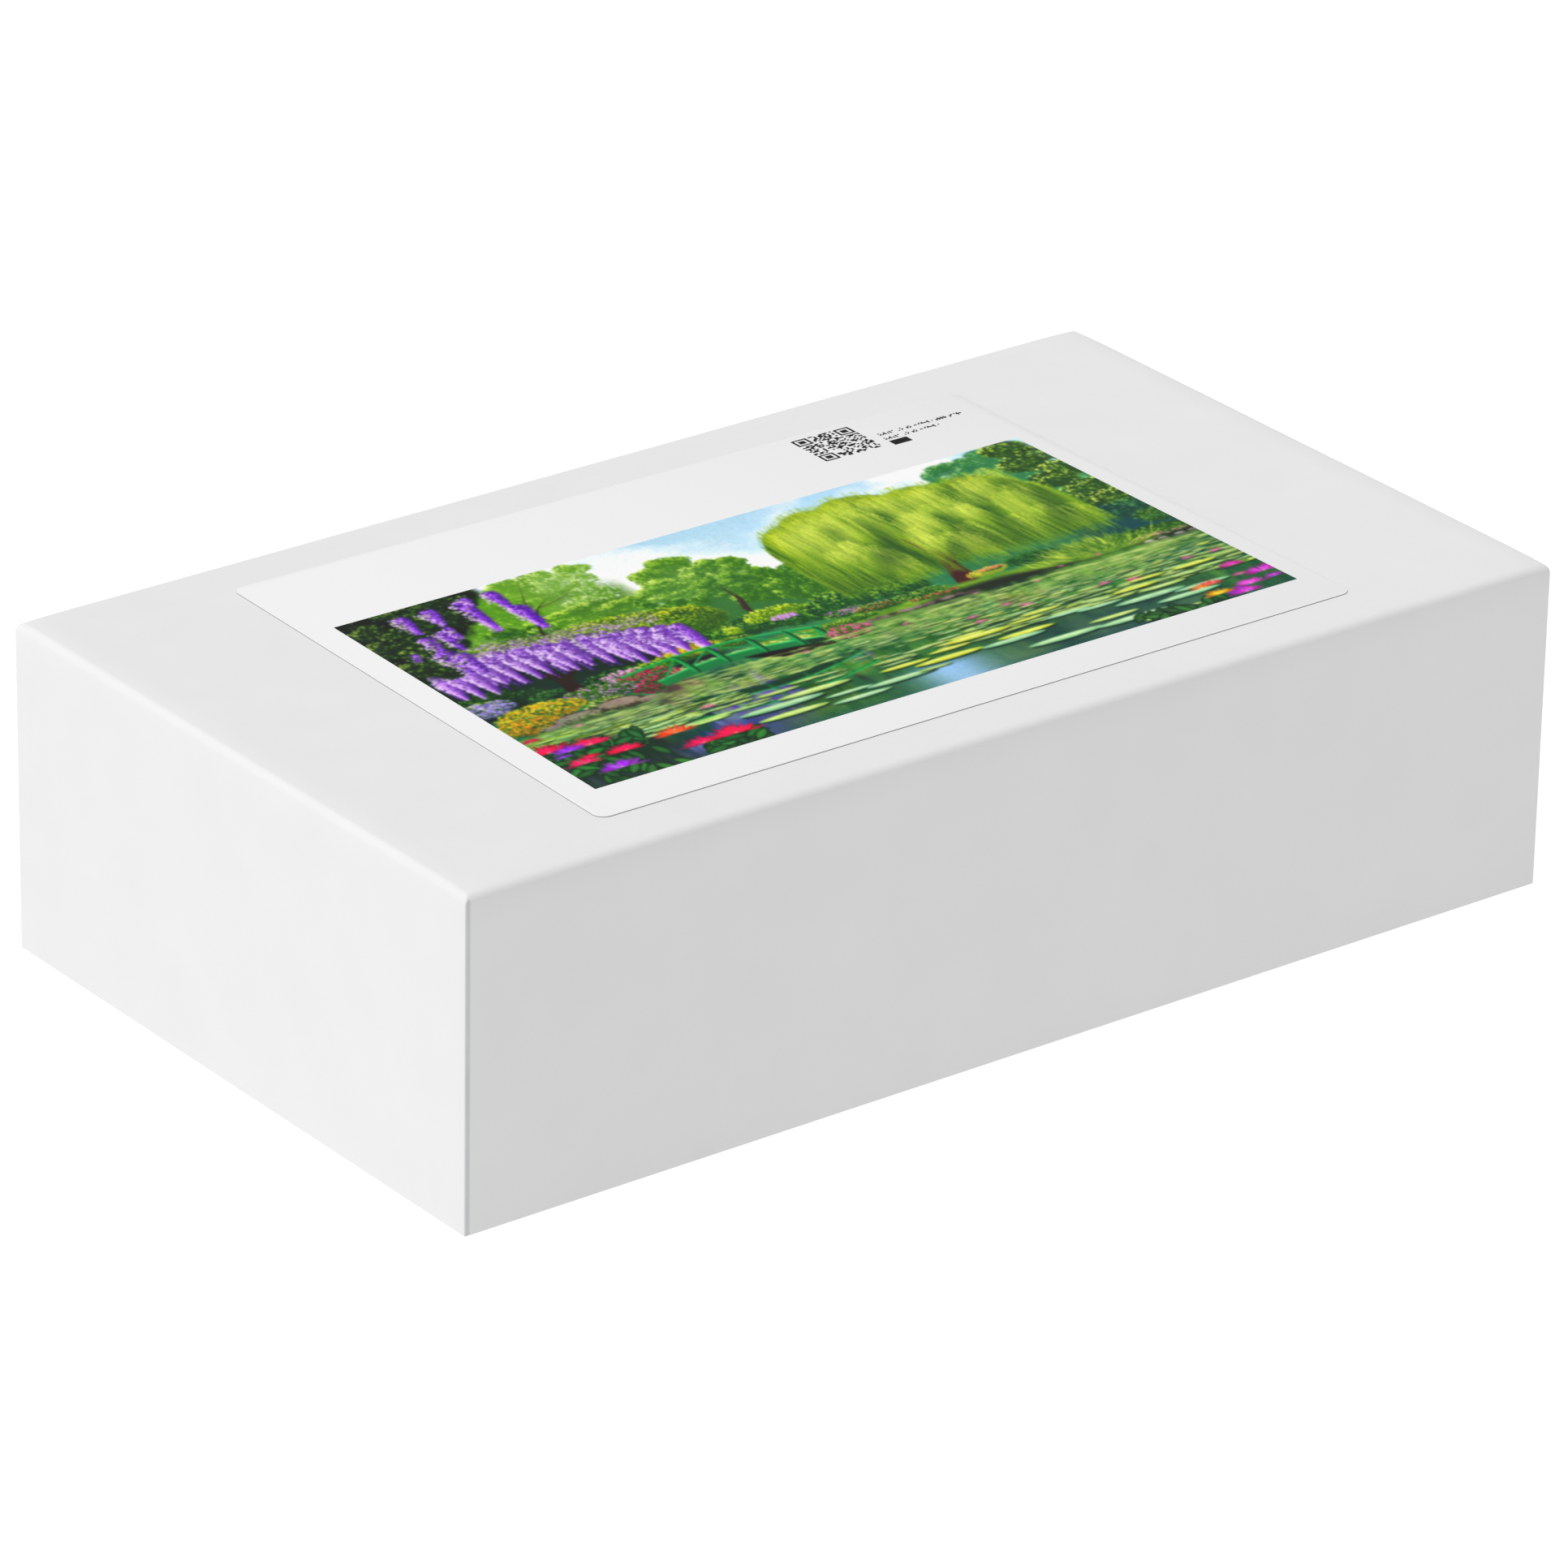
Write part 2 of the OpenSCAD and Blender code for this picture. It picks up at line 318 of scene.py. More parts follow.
def kraft_tape():
    """Gummed kraft paper: unbleached sulphate pulp, machine glazed. Mid brown, with long fibres that
    run up the tape, and a slight shine."""
    material, tree, shader = new_material("gummed_kraft_tape")
    place = add_node(tree, "ShaderNodeTexCoord")
    along = add_node(tree, "ShaderNodeMapping", {"Scale": (1200, 1200, 90)}, Vector=(place, "Object"))
    fibre = add_node(tree, "ShaderNodeTexNoise", {"Scale": 1, "Detail": 4}, Vector=along)
    tone = add_node(tree, "ShaderNodeValToRGB", None, Fac=fibre)
    tone.color_ramp.elements[0].color = linear("#a07d55")
    tone.color_ramp.elements[1].color = linear("#c9a878")
    bump = add_node(tree, "ShaderNodeBump", {"Strength": 0.25, "Distance": 0.00005}, Height=fibre)
    tree.links.new(tone.outputs[0], shader.inputs["Base Color"])
    tree.links.new(bump.outputs[0], shader.inputs["Normal"])
    shader.inputs["Roughness"].default_value = 0.55
    return material


tape_brown = kraft_tape()
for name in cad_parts:
    if "_stay_" in name:
        stay = bpy.data.objects[name]
        stay.data.materials.clear()
        stay.data.materials.append(tape_brown)

# ---- Lid wrap ----
# One sheet of white art paper, 0.2 mm, glued over the lid and turned in 16 mm over the rim. It
# follows the board, so its long edges are a little soft and uneven and its corners dip slightly.
turn_in = 16 * MM
lid_wall = board + 2 * paper


def unevenness(mesh, low, high, panel_up, dip, lump):
    """Lets the folded edges sag between their corners, and the corners dip, by less than the fold's
    own rounding. The flat middle of the panel stays flat."""
    middle = [(low[i] + high[i]) / 2 for i in range(3)]
    half = [(high[i] - low[i]) / 2 for i in range(3)]
    panel_z = high[2] if panel_up else low[2]
    for vertex in mesh.vertices:
        co = vertex.co
        if abs(co.z - panel_z) > 3 * fold_round:
            continue
        near_x = max(1 - (half[0] - abs(co.x - middle[0])) / (9 * MM), 0)
        near_y = max(1 - (half[1] - abs(co.y - middle[1])) / (9 * MM), 0)
        rim = max(near_x, near_y)
        wave = 0.5 + 0.5 * noise.noise(Vector((co.x * 22, co.y * 22, 3.1)))
        drop = dip * near_x * near_y + lump * rim * rim * wave
        height = max(1 - abs(co.z - panel_z) / (3 * fold_round), 0)
        co.z -= (1 if panel_up else -1) * drop * height


def press_corner_strips(piece):
    """Presses a shallow groove into the long walls beside the two left corners, where the flap
    tucked in from the short wall ends under the paper."""
    open_mesh()
    slice_mesh([((wrap_low[0] + inset * MM, 0, 0), (1, 0, 0)) for inset in (0.8, 1.2, 1.7)])
    close_mesh()
    for vertex in piece.data.vertices:
        in_strip = wrap_low[0] + 0.6 * MM < vertex.co.x < wrap_low[0] + 1.4 * MM
        on_wall = abs(vertex.co.y) > wrap_high[1] - 0.05 * MM
        if in_strip and on_wall and vertex.co.z < wrap_high[2] - fold_round:
            vertex.co.y -= math.copysign(0.1 * MM, vertex.co.y)


def turn_in_rim(piece, low, high, mouth_z, inward, wall, depth):
    """Carries the paper over the rim and up or down the inside of the walls."""
    mesh = piece.data
    pick_edges(mesh, at_height(mouth_z))
    half_x, half_y = (high[0] - low[0]) / 2 - wall, (high[1] - low[1]) / 2 - wall
    open_mesh()
    bpy.ops.mesh.select_mode(type="EDGE")
    bpy.ops.mesh.extrude_region_move()
    close_mesh()
    for vertex in mesh.vertices:
        if vertex.select:
            vertex.co.x = max(min(vertex.co.x, half_x), -half_x)
            vertex.co.y = max(min(vertex.co.y, half_y), -half_y)
    open_mesh()
    bpy.ops.mesh.extrude_region_move(TRANSFORM_OT_translate={"value": (0, 0, inward * depth)})
    bpy.ops.mesh.select_all(action="SELECT")
    bpy.ops.mesh.remove_doubles(threshold=MM / 50)
    close_mesh()


def art_paper():
    """White art paper over board: coated wood-free paper, matt. Almost pure white, with a faint
    cloud from the pulp and a felt-like grain that is too fine to see and is drawn at 0.6 mm. On the
    long walls a strip beside the left corners, over the ends of the flaps tucked in from the short
    wall, is painted grey as the shade of the groove pressed there."""
    material, tree, shader = new_material("white_art_paper")
    place = add_node(tree, "ShaderNodeTexCoord")
    cloud = add_node(tree, "ShaderNodeTexNoise", {"Scale": 60, "Detail": 5}, Vector=(place, "Object"))
    tone = add_node(tree, "ShaderNodeValToRGB", None, Fac=cloud)
    tone.color_ramp.elements[0].position = 0.3
    tone.color_ramp.elements[0].color = linear("#eaeaea")
    tone.color_ramp.elements[1].position = 0.7
    tone.color_ramp.elements[1].color = linear("#ececec")
    grain = add_node(tree, "ShaderNodeTexNoise", {"Scale": 1600, "Detail": 2}, Vector=(place, "Object"))
    swell = add_node(tree, "ShaderNodeTexNoise", {"Scale": 26, "Detail": 2}, Vector=(place, "Object"))
    split = add_node(tree, "ShaderNodeSeparateXYZ", None, Vector=(place, "Object"))
    strips = []
    from_middle = add_node(tree, "ShaderNodeMath", {"operation": "ABSOLUTE"}, _0=(split, "Y"))
    for along, inner, outer in (((split, "X"), wrap_low[0] + 1.6 * MM, wrap_low[0] + 0.9 * MM),
                                (from_middle, wrap_high[1] - 0.5 * MM, wrap_high[1] - 0.1 * MM)):
        strips.append(add_node(tree, "ShaderNodeMapRange", {
            "interpolation_type": "SMOOTHSTEP", "From Min": inner, "From Max": outer}, Value=along))
    strip = add_node(tree, "ShaderNodeMath", {"operation": "MULTIPLY"}, _0=strips[0], _1=strips[1])
    # the grey of this strip is painted shade, the shade of the shallow groove where the tucked flap ends,
    # made uneven by noise
    groove_shade_noise = add_node(tree, "ShaderNodeTexNoise", {"Scale": 90, "Detail": 3}, Vector=(place, "Object"))
    groove_shade_strength = add_node(tree, "ShaderNodeMapRange", {"To Min": 0.55, "To Max": 1.0}, Value=groove_shade_noise)
    painted_groove_shade = add_node(tree, "ShaderNodeMath", {"operation": "MULTIPLY"}, _0=strip, _1=groove_shade_strength)
    groove_shaded_tone = add_node(tree, "ShaderNodeMix", {"data_type": "RGBA"}, _0=painted_groove_shade, _6=tone)
    groove_shaded_tone.inputs[7].default_value = linear("#cbccce")
    fine = add_node(tree, "ShaderNodeBump", {"Strength": 0.06, "Distance": 0.0001}, Height=grain)
    bump = add_node(
        tree, "ShaderNodeBump", {"Strength": 0.035, "Distance": 0.0006}, Height=swell, Normal=fine)
    tree.links.new(groove_shaded_tone.outputs["Result"], shader.inputs["Base Color"])
    tree.links.new(bump.outputs[0], shader.inputs["Normal"])
    shader.inputs["Roughness"].default_value = 0.62
    shader.inputs["Specular IOR Level"].default_value = 0.35
    return material


wrap_low, wrap_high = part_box("lid_wrap")
wrap_white = art_paper()
lid_wrap = fold_tray("lid_paper_wrap", wrap_low, wrap_high, -1, (upright_round, fold_round), 7 * MM)
unevenness(lid_wrap.data, wrap_low, wrap_high, True, 0.35 * MM, 0.22 * MM)
press_corner_strips(lid_wrap)
turn_in_rim(lid_wrap, wrap_low, wrap_high, wrap_low[2], 1, lid_wall, turn_in)
finish_shell(lid_wrap, paper * 0.9, -1)
lid_wrap.data.materials.append(wrap_white)
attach(lid_wrap, "lid")
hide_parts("lid_wrap")
unevenness(lid_board.data, lid_low, lid_high, True, 0.45 * MM, 0.4 * MM)

# ---- Label ----
# A varnished A5 sticker with rounded corners, pressed on the middle of the lid. It is thick
# enough to throw a hair-fine line along its near edges.
label_low, label_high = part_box("label")
label_round = 3 * MM
label = add_block("label_sticker", label_low, label_high)
pick_edges(label.data, upright_edge)
open_mesh()
bpy.ops.mesh.select_mode(type="EDGE")
bpy.ops.mesh.bevel(offset=label_round, segments=8, affect="EDGES")
close_mesh()
pick_edges(label.data, at_height(label_high[2]))
open_mesh()
bpy.ops.mesh.bevel(offset=0.06 * MM, segments=2, affect="EDGES")
close_mesh()
bpy.ops.object.shade_smooth_by_angle(angle=math.radians(30))


def cut_to_shape(mesh):
    """The sticker is cut a little out of square, about 6 mm wider in front than at the back. All
    that is printed on it follows."""
    for vertex in mesh.vertices:
        across = (vertex.co.x - label_low[0]) / (label_high[0] - label_low[0])
        back = (vertex.co.y - label_low[1]) / (label_high[1] - label_low[1])
        left = -108.1 + 3.9 * back
        right = 105.5 - 2.0 * back
        front_y = -73.7 - 0.6 * across
        back_y = 74.1 - 2.8 * across
        vertex.co.x = (left + (right - left) * across) * MM
        vertex.co.y = (front_y + (back_y - front_y) * back) * MM


cut_to_shape(label.data)


def sticker_paper():
    """Coated label paper: bright white face under a thin satin varnish, and a greyer cut edge."""
    material, tree, shader = new_material("varnished_label_paper")
    place = add_node(tree, "ShaderNodeTexCoord")
    split = add_node(tree, "ShaderNodeSeparateXYZ", None, Vector=(place, "Object"))
    face = add_node(tree, "ShaderNodeMapRange", {
        "From Min": label_high[2] - 0.1 * MM, "From Max": label_high[2] - 0.04 * MM}, Value=(split, "Z"))
    tone = add_node(tree, "ShaderNodeMix", {"data_type": "RGBA"}, _0=face)
    tone.inputs[6].default_value = linear("#9c9c9a")
    tone.inputs[7].default_value = linear("#f3f3f3")
    ripple = add_node(tree, "ShaderNodeTexNoise", {"Scale": 45, "Detail": 2}, Vector=(place, "Object"))
    bump = add_node(tree, "ShaderNodeBump", {"Strength": 0.06, "Distance": 0.0004}, Height=ripple)
    tree.links.new(tone.outputs["Result"], shader.inputs["Base Color"])
    tree.links.new(bump.outputs[0], shader.inputs["Normal"])
    shader.inputs["Roughness"].default_value = 0.45
    shader.inputs["Specular IOR Level"].default_value = 0.3
    return material


label_white = sticker_paper()
label.data.materials.append(label_white)
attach(label, "lid")
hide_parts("label")


# ---- Picture on the label ----
# A garden pond with a footbridge, wisteria and a weeping willow, painted here touch by touch and
# printed on the label. The same painting is on the pieces.

# sizes of the picture on the label, in millimetres, and how finely it is painted
picture_w, picture_d = 196.5, 104.0
dots_per_mm = 6
ACROSS, DOWN = int(picture_w * dots_per_mm), int(picture_d * dots_per_mm)
brush = np.random.default_rng(11)
canvas = np.ones((DOWN, ACROSS, 3), np.float32)
U, V = np.meshgrid((np.arange(ACROSS) + 0.5) / ACROSS, (np.arange(DOWN) + 0.5) / DOWN)


def paint(colour):
    """The paint of a hex colour, still in sRGB, where paints are mixed. A mixed paint stays as it is."""
    if not isinstance(colour, str):
        return colour
    return np.array([int(colour[i:i + 2], 16) / 255 for i in (1, 3, 5)], np.float32)


def mix(a, b, share):
    """Two paints stirred together, by the second one's share."""
    a, b = paint(a), paint(b)
    return a + (b - a) * np.clip(share, 0, 1)


def mottle(across, down, octaves=3):
    """Soft random light and dark from 0 to 1, with about this many patches across and down."""
    total = np.zeros((DOWN, ACROSS), np.float32)
    weight = 0
    for octave in range(octaves):
        n, m = int(across * 2 ** octave) + 2, int(down * 2 ** octave) + 2
        grid = brush.random((m, n)).astype(np.float32)
        x, y = U * (n - 1.001), V * (m - 1.001)
        i, j = x.astype(int), y.astype(int)
        fx, fy = x - i, y - j
        fx, fy = fx * fx * (3 - 2 * fx), fy * fy * (3 - 2 * fy)
        top = grid[j, i] * (1 - fx) + grid[j, i + 1] * fx
        low = grid[j + 1, i] * (1 - fx) + grid[j + 1, i + 1] * fx
        total += (top * (1 - fy) + low * fy) / 2 ** octave
        weight += 1 / 2 ** octave
    return total / weight


def soft(value, width):
    """0 to 1 as value goes from 0 to width."""
    return np.clip(value / width, 0, 1)


def wash(cover, colour):
    """Paint over the whole canvas, as thick as the cover says."""
    canvas[:] += cover[..., None] * (paint(colour) - canvas)


def dab(u, v, long, wide, turn, colour, cover=1.0, leaf=False):
    """One touch of the brush: long and wide in mm, turned anticlockwise from the level."""
    x, y = u * ACROSS, v * DOWN
    a, b = max(long * dots_per_mm / 2, 0.8), max(wide * dots_per_mm / 2, 0.8)
    c, s = math.cos(turn), -math.sin(turn)
    reach_x = abs(a * c) + abs(b * s) + 1
    reach_y = abs(a * s) + abs(b * c) + 1
    x0, x1 = max(int(x - reach_x), 0), min(int(x + reach_x) + 1, ACROSS)
    y0, y1 = max(int(y - reach_y), 0), min(int(y + reach_y) + 1, DOWN)
    if x0 >= x1 or y0 >= y1:
        return
    X = np.arange(x0, x1, dtype=np.float32) + 0.5 - x
    Y = (np.arange(y0, y1, dtype=np.float32) + 0.5 - y)[:, None]
    p, q = (X * c + Y * s) / a, (Y * c - X * s) / b
    inside = 1 - p * p - (np.abs(q) if leaf else q * q)
    alpha = np.clip(inside * min(a, b) * 0.9, 0, 1) * cover
    spot = canvas[y0:y1, x0:x1]
    spot += alpha[..., None] * (paint(colour) - spot)


def clump(u, v, ru, rv, dark, mid, light, touches, size=1.0, flat=1.0):
    """A round mass of leaves lit from above: shade first, then leaves from dark to light."""
    inside = 1 - ((U - u) / ru) ** 2 - ((V - v) / rv) ** 2
    box = np.nonzero(inside > 0)
    if not len(box[0]):
        return
    y0, y1, x0, x1 = box[0].min(), box[0].max() + 1, box[1].min(), box[1].max() + 1
    spot = canvas[y0:y1, x0:x1]
    cover = soft(inside[y0:y1, x0:x1], 0.35)[..., None] * 0.85
    spot += cover * (paint(dark) - spot)
    for _ in range(touches):
        turn = brush.random() * math.tau
        far = math.sqrt(brush.random()) * 1.04
        du, dv = far * math.cos(turn), far * math.sin(turn)
        lit = 0.5 - 0.55 * dv - 0.25 * du + brush.normal(0, 0.17)
        tone = mix(dark, mid, lit * 2) if lit < 0.5 else mix(mid, light, lit * 2 - 1)
        long = size * (0.7 + 0.8 * brush.random())
        dab(u + ru * du, v + rv * dv, long, long * 0.5 * flat, brush.random() * math.tau, tone, 0.9, True)


def crown(u, v, ru, rv, dark, mid, light, clumps, touches, size=1.0, share=0.32):
    """A tree's crown: clumps of leaves over a shaded mass, the lower ones first."""
    places = []
    for _ in range(clumps):
        turn, far = brush.random() * math.tau, math.sqrt(brush.random()) * 0.8
        places.append((far * math.sin(turn), far * math.cos(turn)))
    for dv, du in sorted(places, reverse=True):
        fade = 0.25 * brush.random() + 0.25 * max(dv, 0)
        clump(
            u + ru * du, v + rv * dv,
            ru * share * (0.8 + 0.5 * brush.random()), rv * share * (0.7 + 0.4 * brush.random()),
            dark, mix(mid, dark, fade), mix(light, mid, fade * 1.6), touches, size,
        )


def limb(points, thick, colour, light=None):
    """A trunk or branch through the points, in picture shares, thick in mm at both ends."""
    for (u0, v0), (u1, v1), t0, t1 in zip(points, points[1:], thick, thick[1:]):
        steps = int(max(abs(u1 - u0) * ACROSS, abs(v1 - v0) * DOWN) / 1.5) + 1
        for k in range(steps):
            f = k / steps
            t = t0 + (t1 - t0) * f
            u, v = u0 + (u1 - u0) * f, v0 + (v1 - v0) * f
            dab(u, v, t, t, 0, colour)
            if light is not None:
                dab(u - t * 0.25 / picture_w, v, t * 0.45, t * 0.5, 0, light, 0.5)


# sky with soft white clouds
sky = "#aed6ec"
canvas[:] = paint(sky)
wash(soft(V + 0.05, 0.4) * 0.8, "#e6f3f2")
clouds = soft(mottle(5, 4, 5) - 0.44 + 0.25 * np.exp(-((U - 0.47) / 0.13) ** 2), 0.18)
wash(clouds * 0.95, "#f6f9fa")
wash(np.exp(-((U - 0.36) / 0.07) ** 2 - ((V - 0.16) / 0.12) ** 2), "#fdfdf6")

# far trees in haze
haze = soft(V - 0.4 + 0.06 * mottle(20, 3), 0.1)
wash(haze, "#2c6b4c")
wash(haze * mottle(40, 30) * 0.7, "#4f8f4a")
wash(soft(U - 0.86, 0.03) * soft(V - 0.33, 0.1), "#1d5148")

# trees behind the right side of the willow
for u, v, ru, rv in [
    (0.87, 0.12, 0.05, 0.1), (0.93, 0.1, 0.06, 0.11), (0.9, 0.24, 0.06, 0.12), (0.97, 0.3, 0.05, 0.16)
]:
    crown(u, v, ru, rv, "#3c7d4a", "#78b268", "#b8dca0", 26, 60, 1.0)
for u, v in [
    (0.965, 0.04), (0.995, 0.1), (0.955, 0.13), (0.99, 0.2), (0.955, 0.24), (0.975, 0.32), (0.94, 0.38),
    (0.99, 0.4)
]:
    clump(u, v, 0.036, 0.05, "#2c4f1c", "#7da33a", "#d2e26a", 120, 1.1)
clump(0.98, 0.47, 0.06, 0.05, "#1d4a34", "#346f43", "#6ca45a", 260, 1.0)

# the light tree at the upper left and the slope under it
slope = soft(0.36 - U, 0.03) * soft(V - 0.1, 0.08) * soft(0.48 - V, 0.05) * soft(U - 0.06, 0.03)
wash(slope * 0.9, "#4f7f2c")
wash(slope * soft(mottle(40, 40) - 0.4, 0.3) * 0.6, "#86ab45")
crown(0.25, 0.13, 0.095, 0.15, "#6a9a38", "#a5cc5c", "#e8f3a6", 54, 60, 1.2, 0.27)
crown(0.17, 0.14, 0.06, 0.15, "#5c8c30", "#9cc656", "#e2f09c", 30, 60, 1.2, 0.36)
crown(0.3, 0.07, 0.045, 0.08, "#7aa848", "#b4d66c", "#eef7b8", 16, 50, 1.1, 0.36)
crown(0.15, 0.27, 0.06, 0.05, "#2f5c1e", "#5f9030", "#9cc04e", 16, 70, 1.1, 0.4)
crown(0.27, 0.25, 0.09, 0.05, "#4f8028", "#8dba40", "#cfe470", 30, 70, 1.1, 0.34)
for k in range(240):
    u, v = 0.24 + 0.1 * brush.random(), 0.04 + 0.17 * brush.random()
    dab(u, v, 1.6, 0.7, brush.random() * 3.1, "#e9f4ea", 0.5 * soft(u - 0.25, 0.08), True)
limb([(0.185, 0.31), (0.2, 0.24), (0.225, 0.17), (0.262, 0.12)], [1.0, 0.8, 0.5, 0.2], "#3a3a1e")
limb([(0.2, 0.24), (0.225, 0.12), (0.25, 0.03)], [0.7, 0.45, 0.2], "#4a4a26")
limb([(0.21, 0.2), (0.19, 0.13), (0.185, 0.06)], [0.5, 0.35, 0.2], "#4a4a26")
limb([(0.225, 0.17), (0.27, 0.15), (0.31, 0.1)], [0.5, 0.35, 0.2], "#55562c")

# the tall round tree and the lower trees right of it
wash(soft(U - 0.3, 0.06) * soft(0.56 - U, 0.04) * soft(V - 0.28, 0.05) * soft(0.52 - V, 0.04), "#3f7434")
for u, v, ru, rv in [
    (0.36, 0.33, 0.045, 0.09), (0.47, 0.37, 0.05, 0.1), (0.53, 0.4, 0.05, 0.12), (0.5, 0.33, 0.03, 0.08)
]:
    crown(u, v, ru, rv, "#35691f", "#72a834", "#b9d85a", 26, 70, 1.0)
limb([(0.424, 0.45), (0.437, 0.38), (0.44, 0.3), (0.435, 0.25)], [1.3, 1.0, 0.7, 0.4], "#3b3a22")
crown(0.415, 0.19, 0.058, 0.09, "#558634", "#98c152", "#d6e888", 34, 80, 1.1)
crown(0.46, 0.225, 0.046, 0.07, "#4a7c30", "#8ab84a", "#c6de78", 24, 80, 1.1)
crown(0.385, 0.245, 0.052, 0.065, "#4f8230", "#96c24e", "#d4e680", 24, 80, 1.1)
crown(0.45, 0.3, 0.045, 0.06, "#366a26", "#6b9f36", "#a2c84e", 18, 80, 1.0)
limb([(0.424, 0.43), (0.436, 0.37), (0.438, 0.3)], [1.1, 0.8, 0.4], "#42402a")

# shrubs between the trees and the water
for u in np.linspace(0.36, 0.62, 12):
    v = 0.5 + 0.03 * brush.random()
    clump(u, v, 0.03, 0.05, "#1f4f24", "#4c8a30", "#a6c94a", 150, 1.0)
clump(0.445, 0.485, 0.04, 0.035, "#49761d", "#93b52c", "#d8dd52", 260, 1.0)
for k in range(60):
    dab(0.43 + 0.035 * brush.random(), 0.5 + 0.02 * brush.random(), 0.5, 1.5, 0, "#c795d8", 0.8)
clump(0.375, 0.51, 0.012, 0.02, "#5d8b1f", "#a9c435", "#d5dc5a", 80, 0.8)

# the clipped hedge
for k in range(9):
    f = k / 8
    u, v = 0.225 + 0.135 * f, 0.335 + 0.075 * f ** 1.6
    clump(u, v, 0.04, 0.045 + 0.03 * f, "#3c651b", "#86a827", "#cdd544", 260, 0.9)
clump(0.345, 0.41, 0.055, 0.075, "#31591a", "#84a528", "#d3d544", 700, 0.9)

# deep shade and dark shrubs under the wisteria
wash(soft(0.345 - U, 0.03) * soft(V - 0.4, 0.03) * soft(0.64 - V, 0.04), "#123229")
wash(soft(0.07 - U, 0.03) * soft(V - 0.2, 0.05) * soft(0.5 - V, 0.04), "#123229")
for u, v, ru, rv in [
    (0.065, 0.54, 0.045, 0.04), (0.1, 0.565, 0.03, 0.03), (0.2, 0.56, 0.06, 0.035),
    (0.03, 0.5, 0.04, 0.03)
]:
    clump(u, v, ru, rv, "#16331c", "#2f5c2c", "#5d8f3f", 240, 0.9)
clump(0.3, 0.54, 0.045, 0.03, "#8d8a1e", "#d9b32b", "#f2d659", 300, 0.9)
for u in (0.24, 0.27, 0.335, 0.36):
    clump(u, 0.56, 0.03, 0.025, "#2e5c22", "#71993a", "#c3cf54", 160, 0.9)

# the wisteria: trunk, hanging flowers in rows, leaves along the top
bark = "#2c2018"
limb([(0.132, 0.58), (0.136, 0.53), (0.137, 0.49), (0.12, 0.46)], [5, 3.6, 3.8, 2], bark, "#4c3a2c")
limb([(0.14, 0.52), (0.155, 0.49), (0.175, 0.475)], [2, 1.5, 1], bark)


def raceme(u, v, long, wide, tone, ragged=0.0):
    """One hanging flower: a cone that runs out to a point, lit from the left, over its own shade."""
    deep, violet, bright = tone
    steps = int(long * picture_d / 0.8)
    for k in range(steps):
        f = k / steps
        half = wide * (0.75 + 0.25 * math.sin(min(f * 9, 1.57))) * (1 - f ** 1.5)
        dab(u + 0.15 * wide / picture_w, v + long * f, half * 1.1, 1.1, 0, deep, 0.85)
    count = int(long * picture_d * wide * 2.4)
    for k in range(count):
        f = (k / count) ** 0.9
        half = wide * (0.7 + 0.3 * math.sin(min(f * 9, 1.57))) * (1 - f ** 1.5) / 2
        side = brush.uniform(-1, 1)
        lit = 0.66 - 0.5 * side - 0.3 * f + brush.normal(0, 0.1)
        colour = mix(deep, violet, lit * 2) if lit < 0.5 else mix(violet, bright, lit * 2 - 1)
        du = (side * half + ragged * brush.normal()) / picture_w
        dab(u + du, v + long * f, 1.0, 0.6, brush.random() * 3.1, colour, 0.9)


shade_tone = ("#2a1a44", "#5a3688", "#8659b8")
full_tone = ("#6a419c", "#b88add", "#e6cdf6")
for k in range(30):
    f = (k + 0.6 * brush.random()) / 30
    raceme(0.005 + 0.325 * f, 0.37 + 0.06 * f, 0.08 + 0.03 * brush.random(), 3.0, shade_tone)
for row, (count, wide) in enumerate(((20, 4.4), (17, 5.0))):
    for k in range(count):
        f = (k + 0.25 + 0.5 * brush.random()) / count
        u = 0.008 + 0.326 * f
        top = 0.315 - 0.03 * math.exp(-((u - 0.13) / 0.07) ** 2) + 0.1 * f ** 3 + 0.035 * row
        raceme(u, top, 0.12 + 0.04 * brush.random(), wide * (0.85 + 0.3 * brush.random()), full_tone)
for k in range(1500):
    f = brush.random()
    u = 0.035 + 0.29 * f
    v = 0.302 + 0.016 * brush.normal() + 0.1 * max(f - 0.3, 0) ** 1.5 - 0.02 * math.exp(
        -((f - 0.25) / 0.2) ** 2
    )
    tone = mix("#2c4a18", "#b9cc66", brush.random())
    if brush.random() < 0.4:
        tone = mix("#8f5cc0", "#dcbcf0", brush.random())
    dab(u, v, 1.2, 0.6, brush.random() * 3.1, tone, 0.9, True)

# dark leaves at the top left with the upper flowers
edge = 0.175 - 0.16 * soft(V - 0.04, 0.34) + 0.05 * mottle(14, 14)
wash(soft(edge - U, 0.02) * soft(0.38 - V, 0.08), "#0d1d10")
for k in range(46):
    v = 0.36 * brush.random() ** 1.1
    u = (0.19 - 0.42 * v) * brush.random()
    clump(u, v, 0.022, 0.035, "#152a16", "#3a5c26", "#93ac50", 44, 1.1)
for u, v, long, wide in [
    (0.072, 0.04, 0.1, 5), (0.11, 0.04, 0.09, 5.5), (0.155, 0.04, 0.18, 5.5), (0.2, 0.035, 0.12, 5),
    (0.205, 0.13, 0.135, 5.5), (0.09, 0.15, 0.11, 4.5), (0.105, 0.14, 0.07, 3), (0.065, 0.16, 0.12, 5),
    (0.06, 0.24, 0.14, 6.5), (0.075, 0.27, 0.12, 5), (0.03, 0.22, 0.04, 3), (0.168, 0.03, 0.05, 3)
]:
    raceme(u, v, long, wide, ("#53308a", "#a970e0", "#e6c6fc"), 0.5)
for k in range(260):
    v = 0.34 * brush.random()
    u = (0.2 - 0.4 * v) * brush.random()
    dab(u, v, 1.3, 0.6, brush.random() * 3.1, mix("#16300f", "#8aa83c", brush.random()), 0.9, True)

